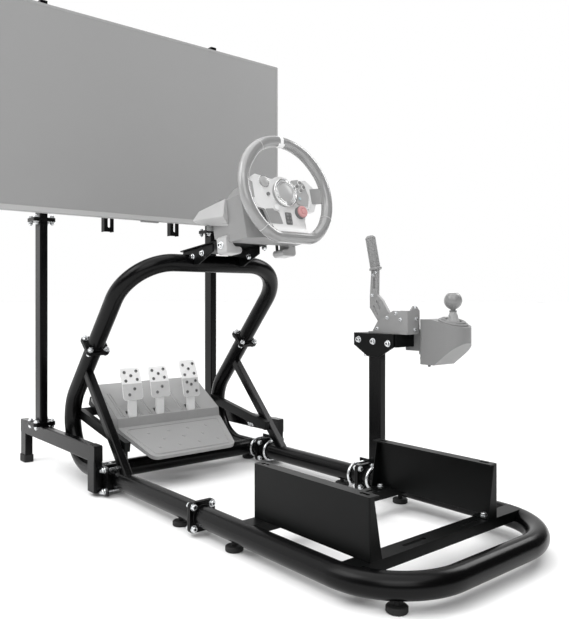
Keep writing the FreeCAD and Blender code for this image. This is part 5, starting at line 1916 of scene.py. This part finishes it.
@dataclass
class HandBrake(Assembly):
    """Hand brake: plate foot, slotted lever, collar and ribbed grip."""

    lever_body: str = "hand_brake"
    skins: Skins = (
        Skin("hand_brake_base", PALE_ENAMEL, Slot.METAL, 0.7),
        Skin("hand_brake_lever", PALE_ENAMEL, Slot.METAL, 0.7, lever_body),
    )
    neck: Point2 = (51.4, 143.4)
    tip: Point2 = (72.9, 239.0)
    grip_radius: float = 15.0
    grip_steps: int = 40
    grip_foot: Profile = ((-15.0, 2.0), (-1.5, 2.0), (0.0, 4.0))
    grip_end: Profile = ((0.0, -8.0), (0.0, -5.0), (-4.5, 0.0), (-15.0, 0.0))
    ribs: int = 20
    rib: Profile = ((-1.3, 0.0), (0.0, 0.3), (0.0, 0.7), (-1.3, 1.0))
    rib_from: float = 5.0
    rib_margin: float = 14.0
    collar: Turned = Turned("hand_brake_collar", PALE_ENAMEL, (
        (0.0, -5.0), (16.0, -5.0), (18.5, -3.0), (18.5, 1.0), (16.5, 2.6), (0.0, 2.6),
    ), steps=40, bevel=0.5, slot=Slot.METAL)
    ray_room: float = 10.0
    base_scale: float = 0.62
    lever_scale: float = 0.55
    cheek_screws: Profile = ((-188.0, 458.0), (-225.0, 490.0), (-257.0, 503.0), (-274.0, 486.0))
    lever_screws: Profile = ((-155.0, 554.0), (-168.0, 621.0), (-157.0, 614.0))
    end_screws: Profile = ((368.0, 488.0), (363.0, 458.0), (365.0, 520.0))

    def details(self) -> None:
        """Set the screws where they meet the sheet, and add the grip."""
        base = Extent.of("hand_brake_base")
        x, y = base.lo.x - self.ray_room, base.lo.y - self.ray_room
        cheek = self.mesh("hand_brake_base")
        spots = seated(cheek, [ROW.at(x, *place) for place in self.cheek_screws], X_AXIS, self.base_scale)
        ends = [ROW.at(across, y, up) for across, up in self.end_screws]
        spots += seated(cheek, ends, Y_AXIS, self.base_scale)
        self.fasten("hand_brake_base_screws", CAP_SCREW, spots)
        starts = [ROW.at(x, *place) for place in self.lever_screws]
        spots = seated(self.mesh("hand_brake_lever"), starts, X_AXIS, self.lever_scale)
        self.fasten("hand_brake_lever_screws", CAP_SCREW, spots, self.lever_body)
        self.grip()

    def grip(self) -> None:
        """Add the ribbed grip and its collar along the top of the lever."""
        pin = Vector(self.joint("hand_brake_pull")["pos_m"]) / MM
        low = pin + Vector((0.0, *self.neck))
        high = pin + Vector((0.0, *self.tip))
        spot = facing(low * MM, high - low)
        length = (high - low).length
        radius = self.grip_radius
        pitch = (length - self.rib_margin) / self.ribs
        profile = [(radius + out, up) for out, up in self.grip_foot]
        for index, (out, part) in product(range(self.ribs), self.rib):
            profile.append((radius + out, self.rib_from + pitch * (index + part)))
        profile += [(radius + out, length + up) for out, up in self.grip_end]
        grip = lathe(profile, self.grip_steps)
        self.piece("hand_brake_ribbed_grip", grip, [GRIP_RUBBER], Slot.LEATHER, spot,
                   stands_for=("hand_brake_grip",), body=self.lever_body)
        self.turn(self.collar, spot, self.lever_body)


@dataclass
class GearShifter(Assembly):
    """Gear shifter: housing, stepped seat, boot, lever and knob, and the post that carries them."""

    stick_body: str = "gear_stick"
    gate_body: str = "gear_gate"
    skins: Skins = (
        Skin("gear_housing", GREY_ABS, Slot.PLASTIC, 5.0),
        Skin("gear_lever", ZINC_PLATE, Slot.METAL, 0.5, stick_body),
        Skin("gear_ring", DARK_ABS, Slot.PLASTIC, 0.5, gate_body),
        Skin("side_post", POWDER_BLACK, Slot.BLACK, 0.9),
        Skin("side_gusset", POWDER_SHEET, Slot.BLACK, 0.9),
        Skin("side_tray", POWDER_SHEET, Slot.BLACK, 1.2),
    )
    gusset_screws: Profile = ((-139.0, 426.0), (-195.0, 423.0), (-251.0, 419.0))
    gusset_scale: float = 1.1
    eye_at: Point2 = (-163.0, 384.0)
    eye_sunk: float = 2.0
    eye: tuple[float, float, float, int] = (5.0, 0.0, 1.8, 24)

    knob_rise: float = 76.0
    knob_radius: float = 24.5
    knob_degs: range = range(-66, 79, 8)
    knob_foot: Profile = ((0.0, -27.0), (6.6, -27.0), (6.6, -25.6), (8.0, -23.6))
    knob_top: Profile = ((5.6, 24.0), (5.0, 24.2), (0.0, 24.4))
    knob_steps: int = 56
    # The pale cap on the knob's top is a painted highlight: it stands for the glint of light on the top.
    cap: Turned = Turned("gear_knob_cap", SILVER_ABS, (
        (0.0, 20.5), (12.2, 20.5), (12.2, 21.6), (10.0, 22.9), (5.0, 24.3), (0.0, 24.6),
    ), steps=40)

    slope: float = 0.2308
    seat_rise: float = 15.0
    seat: Turned = Turned("boot_seat", GREY_ABS, (
        (23.0, -6.0), (41.0, -6.0), (41.0, 3.4), (39.4, 5.0), (34.6, 5.4), (33.6, 8.4), (32.0, 9.8),
        (27.4, 10.2), (25.6, 8.4), (23.0, 7.8),
    ), steps=64, stands_for=("gear_boot",), slot=Slot.LEATHER, ring=True)
    boot_rise: float = 16.5
    neck_rise: float = 47.5
    boot_foot: float = 18.6
    boot_neck: float = 8.6
    boot_wall: float = 1.6
    boot_rows: int = 14
    boot_around: int = 60
    boot_taper: float = 0.9
    boot_waves: int = 2
    wave_depth: float = 1.1
    folds: int = 7
    fold_depth: float = 0.06
    fold_fade: float = 0.6
    fold_from: float = 0.15
    collar: Turned = Turned("boot_collar", DARK_ABS, (
        (5.6, 45.0), (9.6, 45.0), (10.0, 46.0), (10.0, 48.4), (9.2, 49.4), (5.6, 49.4),
    ), steps=40, ring=True)

    jaw_at: Point2 = (-16.0, 82.0)
    jaw_half: float = 12.0
    jaw_bevel: float = 1.2
    jaw_line: Profile = (
        (-6.0, 366.0), (5.0, 366.0), (5.0, 374.0), (10.0, 374.0), (10.0, 381.0), (5.0, 383.0), (5.0, 387.0),
        (13.0, 388.0), (13.0, 397.5), (-6.0, 397.5),
    )
    jaw_screw: Turned = Turned("jaw_screw", DARK_ABS, (
        (0.0, -8.0), (3.4, -8.0), (4.2, -7.0), (4.2, -3.0), (3.0, -2.4), (3.0, 3.0), (0.0, 3.0),
    ), steps=24, bevel=0.3)
    jaw_screw_behind: float = 14.0

    def details(self) -> None:
        """Add the gusset's screws and eye, the knob, the boot and the jaw's rack."""
        pivot = Spot(Vector(self.joint("gear_shift")["pos_m"]))
        side = Extent.of("side_gusset").lo.x
        spots = [(ROW.at(side, *place), -X_AXIS, self.gusset_scale) for place in self.gusset_screws]
        self.fasten("gusset_screws", CAP_SCREW, spots)
        eye = ROW.shift(side + self.eye_sunk, *self.eye_at).sideways()
        self.piece("gusset_eye", torus(*self.eye), [ZINC_PLATE], Slot.ZINC, eye)
        self.knob(pivot)
        self.boot(pivot)
        self.jaw_rack(pivot)

    def knob(self, pivot: Spot) -> None:
        """Add the turned knob with a pale cap on top, which is a painted highlight.

        Args:
            pivot: axes at the lever's pivot.
        """
        spot = pivot.shift(0.0, 0.0, self.knob_rise)
        profile = list(self.knob_foot)
        for angle in map(math.radians, self.knob_degs):
            profile.append((self.knob_radius * math.cos(angle), self.knob_radius * math.sin(angle)))
        profile += self.knob_top
        self.piece("turned_gear_knob", lathe(profile, self.knob_steps), [GLOSS_ABS], Slot.PLASTIC, spot,
                   stands_for=("gear_knob",), body=self.stick_body)
        self.turn(self.cap, spot, self.stick_body)

    def boot_wall_rows(self) -> list[list[Point3]]:
        """Rows of points up the boot's outside and down its inside."""
        levels = [i / self.boot_rows for i in range(self.boot_rows + 1)]
        walls = [(part, 0.0) for part in levels] + [(part, self.boot_wall) for part in reversed(levels)]
        rows = []
        for part, inset in walls:
            base = self.boot_foot + (self.boot_neck - self.boot_foot) * part ** self.boot_taper
            base += self.wave_depth * math.sin(math.tau * self.boot_waves * part) * (1.0 - part)
            height = self.boot_rise + (self.neck_rise - self.boot_rise) * part
            depth = self.fold_depth * (1.0 - self.fold_fade * part)
            depth *= math.sin(math.pi * min(1.0, part + self.fold_from))
            row = []
            for angle in angles(self.boot_around):
                reach = base * (1.0 + depth * math.cos(self.folds * angle)) - inset
                row.append((reach * math.cos(angle), reach * math.sin(angle), height))
            rows.append(row)
        return rows

    def boot(self, pivot: Spot) -> None:
        """Add the stepped seat on the housing, the folded boot, and the collar on the lever.

        Args:
            pivot: axes at the lever's pivot.
        """
        normal = Vector((0.0, -self.slope, 1.0))
        self.turn(self.seat, facing(pivot.at(0.0, 0.0, self.seat_rise), normal))
        sleeve = self.form("folded_boot", lofted(self.boot_wall_rows(), True), [BOOT_VINYL], pivot)
        tuple(pivot.at(0.0, 0.0, self.boot_rise))
        tuple(pivot.at(0.0, 0.0, self.neck_rise))
        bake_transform(sleeve)
        LOG.info("soft piece %s, %d faces", sleeve.name, len(sleeve.data.polygons))
        self.turn(self.collar, pivot, self.stick_body)

    def jaw_rack(self, pivot: Spot) -> None:
        """Add the stepped clamp block and its screw under the housing's jaw.

        Args:
            pivot: axes at the lever's pivot.
        """
        x, y = pivot.origin.xy / MM + Vector(self.jaw_at)
        rack = slab(self.jaw_line, -self.jaw_half, self.jaw_half)
        self.piece("jaw_rack", rack, [GREY_ABS], Slot.PLASTIC, ROW.shift(x, y).sideways(), self.jaw_bevel)
        foot = ROW.shift(x, y - self.jaw_screw_behind, Extent.of("gear_housing").lo.z)
        self.turn(self.jaw_screw, foot)


@dataclass(frozen=True)
class Lamp:
    """Studio light; its spread is degrees for a sun and a side in metres for an area."""

    name: str
    kind: LampKind
    power: float
    spread: float
    place: Point3
    aim: Point3


@dataclass
class Studio:
    """Pale floor, soft light and the photograph's camera."""

    camera_place: Point3 = (-1.1495, -1.538, 0.549)
    heading_deg: float = 40.0
    lens: float = 40.13
    sensor: float = 36.0
    clip: Point2 = (0.05, 100.0)
    frame_px: tuple[int, int] = (569, 619)
    horizon_px: float = 297.0
    floor_reach: float = 60.0
    fill_behind: float = 0.06
    fill_ahead: float = 1.4
    fill_turn: Point2 = (-0.2, 0.9)
    lamps: tuple[Lamp, ...] = (
        Lamp("even_sky", LampKind.SUN, 2.3, 75.0, (-1.2, -0.6, 5.0), (0.0, 0.0, 0.0)),
        Lamp("soft_box", LampKind.AREA, 40.0, 2.0, (-2.6, 0.6, 2.8), (0.0, 0.0, 0.5)),
        Lamp("front_fill", LampKind.AREA, 65.0, 3.0, (-2.4, -3.4, 3.0), (0.0, 0.0, 0.7)),
        Lamp("edge_light", LampKind.AREA, 50.0, 1.6, (3.2, -0.6, 3.0), (0.0, 0.0, 0.7)),
    )

    def build(self) -> None:
        """Set up camera, floor, surround and lights."""
        bpy.context.scene.view_settings.view_transform = "Standard"
        self.camera()
        self.floor()
        self.world()
        self.lights()

    def camera(self) -> None:
        """Place the camera as the photograph was taken."""
        data = bpy.data.cameras.new("camera")
        data.lens = self.lens
        data.sensor_width = self.sensor
        data.clip_start, data.clip_end = self.clip
        data.shift_y = (self.horizon_px - self.frame_px[1] / 2) / max(self.frame_px)
        made = bpy.data.objects.new("camera", data)
        made.location = self.camera_place
        made.rotation_euler = (math.radians(90.0), 0.0, -math.radians(self.heading_deg))
        bpy.context.scene.collection.objects.link(made)
        bpy.context.scene.camera = made

    def floor(self) -> None:
        """Lay the floor as stage."""
        mesh = bpy.data.meshes.new("floor")
        side = 2 * self.floor_reach
        mesh.from_pydata([(x, y, 0.0) for x, y in rectangle(side, side)], [], [(0, 1, 2, 3)])
        mesh.materials.append(FLOOR_PAPER.material())
        made = bpy.data.objects.new("floor", mesh)
        bpy.context.scene.collection.objects.link(made)

    def lights(self) -> None:
        """Hang every lamp and turn it to its aim."""
        for lamp in self.lamps:
            data = bpy.data.lights.new(lamp.name, lamp.kind.value)
            data.energy = lamp.power
            if lamp.kind is LampKind.SUN:
                data.angle = math.radians(lamp.spread)
            else:
                data.shape = "SQUARE"
                data.size = lamp.spread
            made = bpy.data.objects.new(lamp.name, data)
            made.location = lamp.place
            way = Vector(lamp.aim) - Vector(lamp.place)
            made.rotation_euler = way.to_track_quat("-Z", "Y").to_euler()
            bpy.context.scene.collection.objects.link(made)

    def world(self) -> None:
        """Give the studio a white surround, bright ahead of the object and dim behind the camera."""
        world = bpy.data.worlds.new("studio")
        bpy.context.scene.world = world
        world.use_nodes = True
        tree = world.node_tree
        tree.nodes.clear()
        way = add_node(tree, "ShaderNodeTexCoord").outputs["Generated"]
        ahead = add_node(tree, "ShaderNodeSeparateXYZ", {"Vector": way}).outputs["Y"]
        near, far = self.fill_turn
        fill = add_node(tree, "ShaderNodeMapRange", {
            "Value": ahead, 1: near, 2: far, 3: self.fill_behind, 4: self.fill_ahead,
        }, interpolation_type="SMOOTHSTEP").outputs["Result"]
        seen = add_node(tree, "ShaderNodeLightPath").outputs["Is Camera Ray"]
        power = add_node(tree, "ShaderNodeMapRange", {"Value": seen, 3: fill, 4: 1.0}).outputs["Result"]
        back = add_node(tree, "ShaderNodeBackground", {"Color": linear("#ffffff"), "Strength": power})
        add_node(tree, "ShaderNodeOutputWorld", {"Surface": back.outputs[0]})


def main() -> None:
    """Load the frame, dress every sub-assembly in order and note the sizes."""
    logging.basicConfig(level=logging.INFO, format="%(name)s: %(message)s")
    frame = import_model()
    Studio().build()
    for kind in (TubeFrame, SeatSupports, ScreenStand, Screen, SteeringWheel, WheelBase, PedalSet, HandBrake,
                 GearShifter):
        LOG.info("building %s", kind.__name__)
        kind(frame).build()


if __name__ == "__main__":
    main()
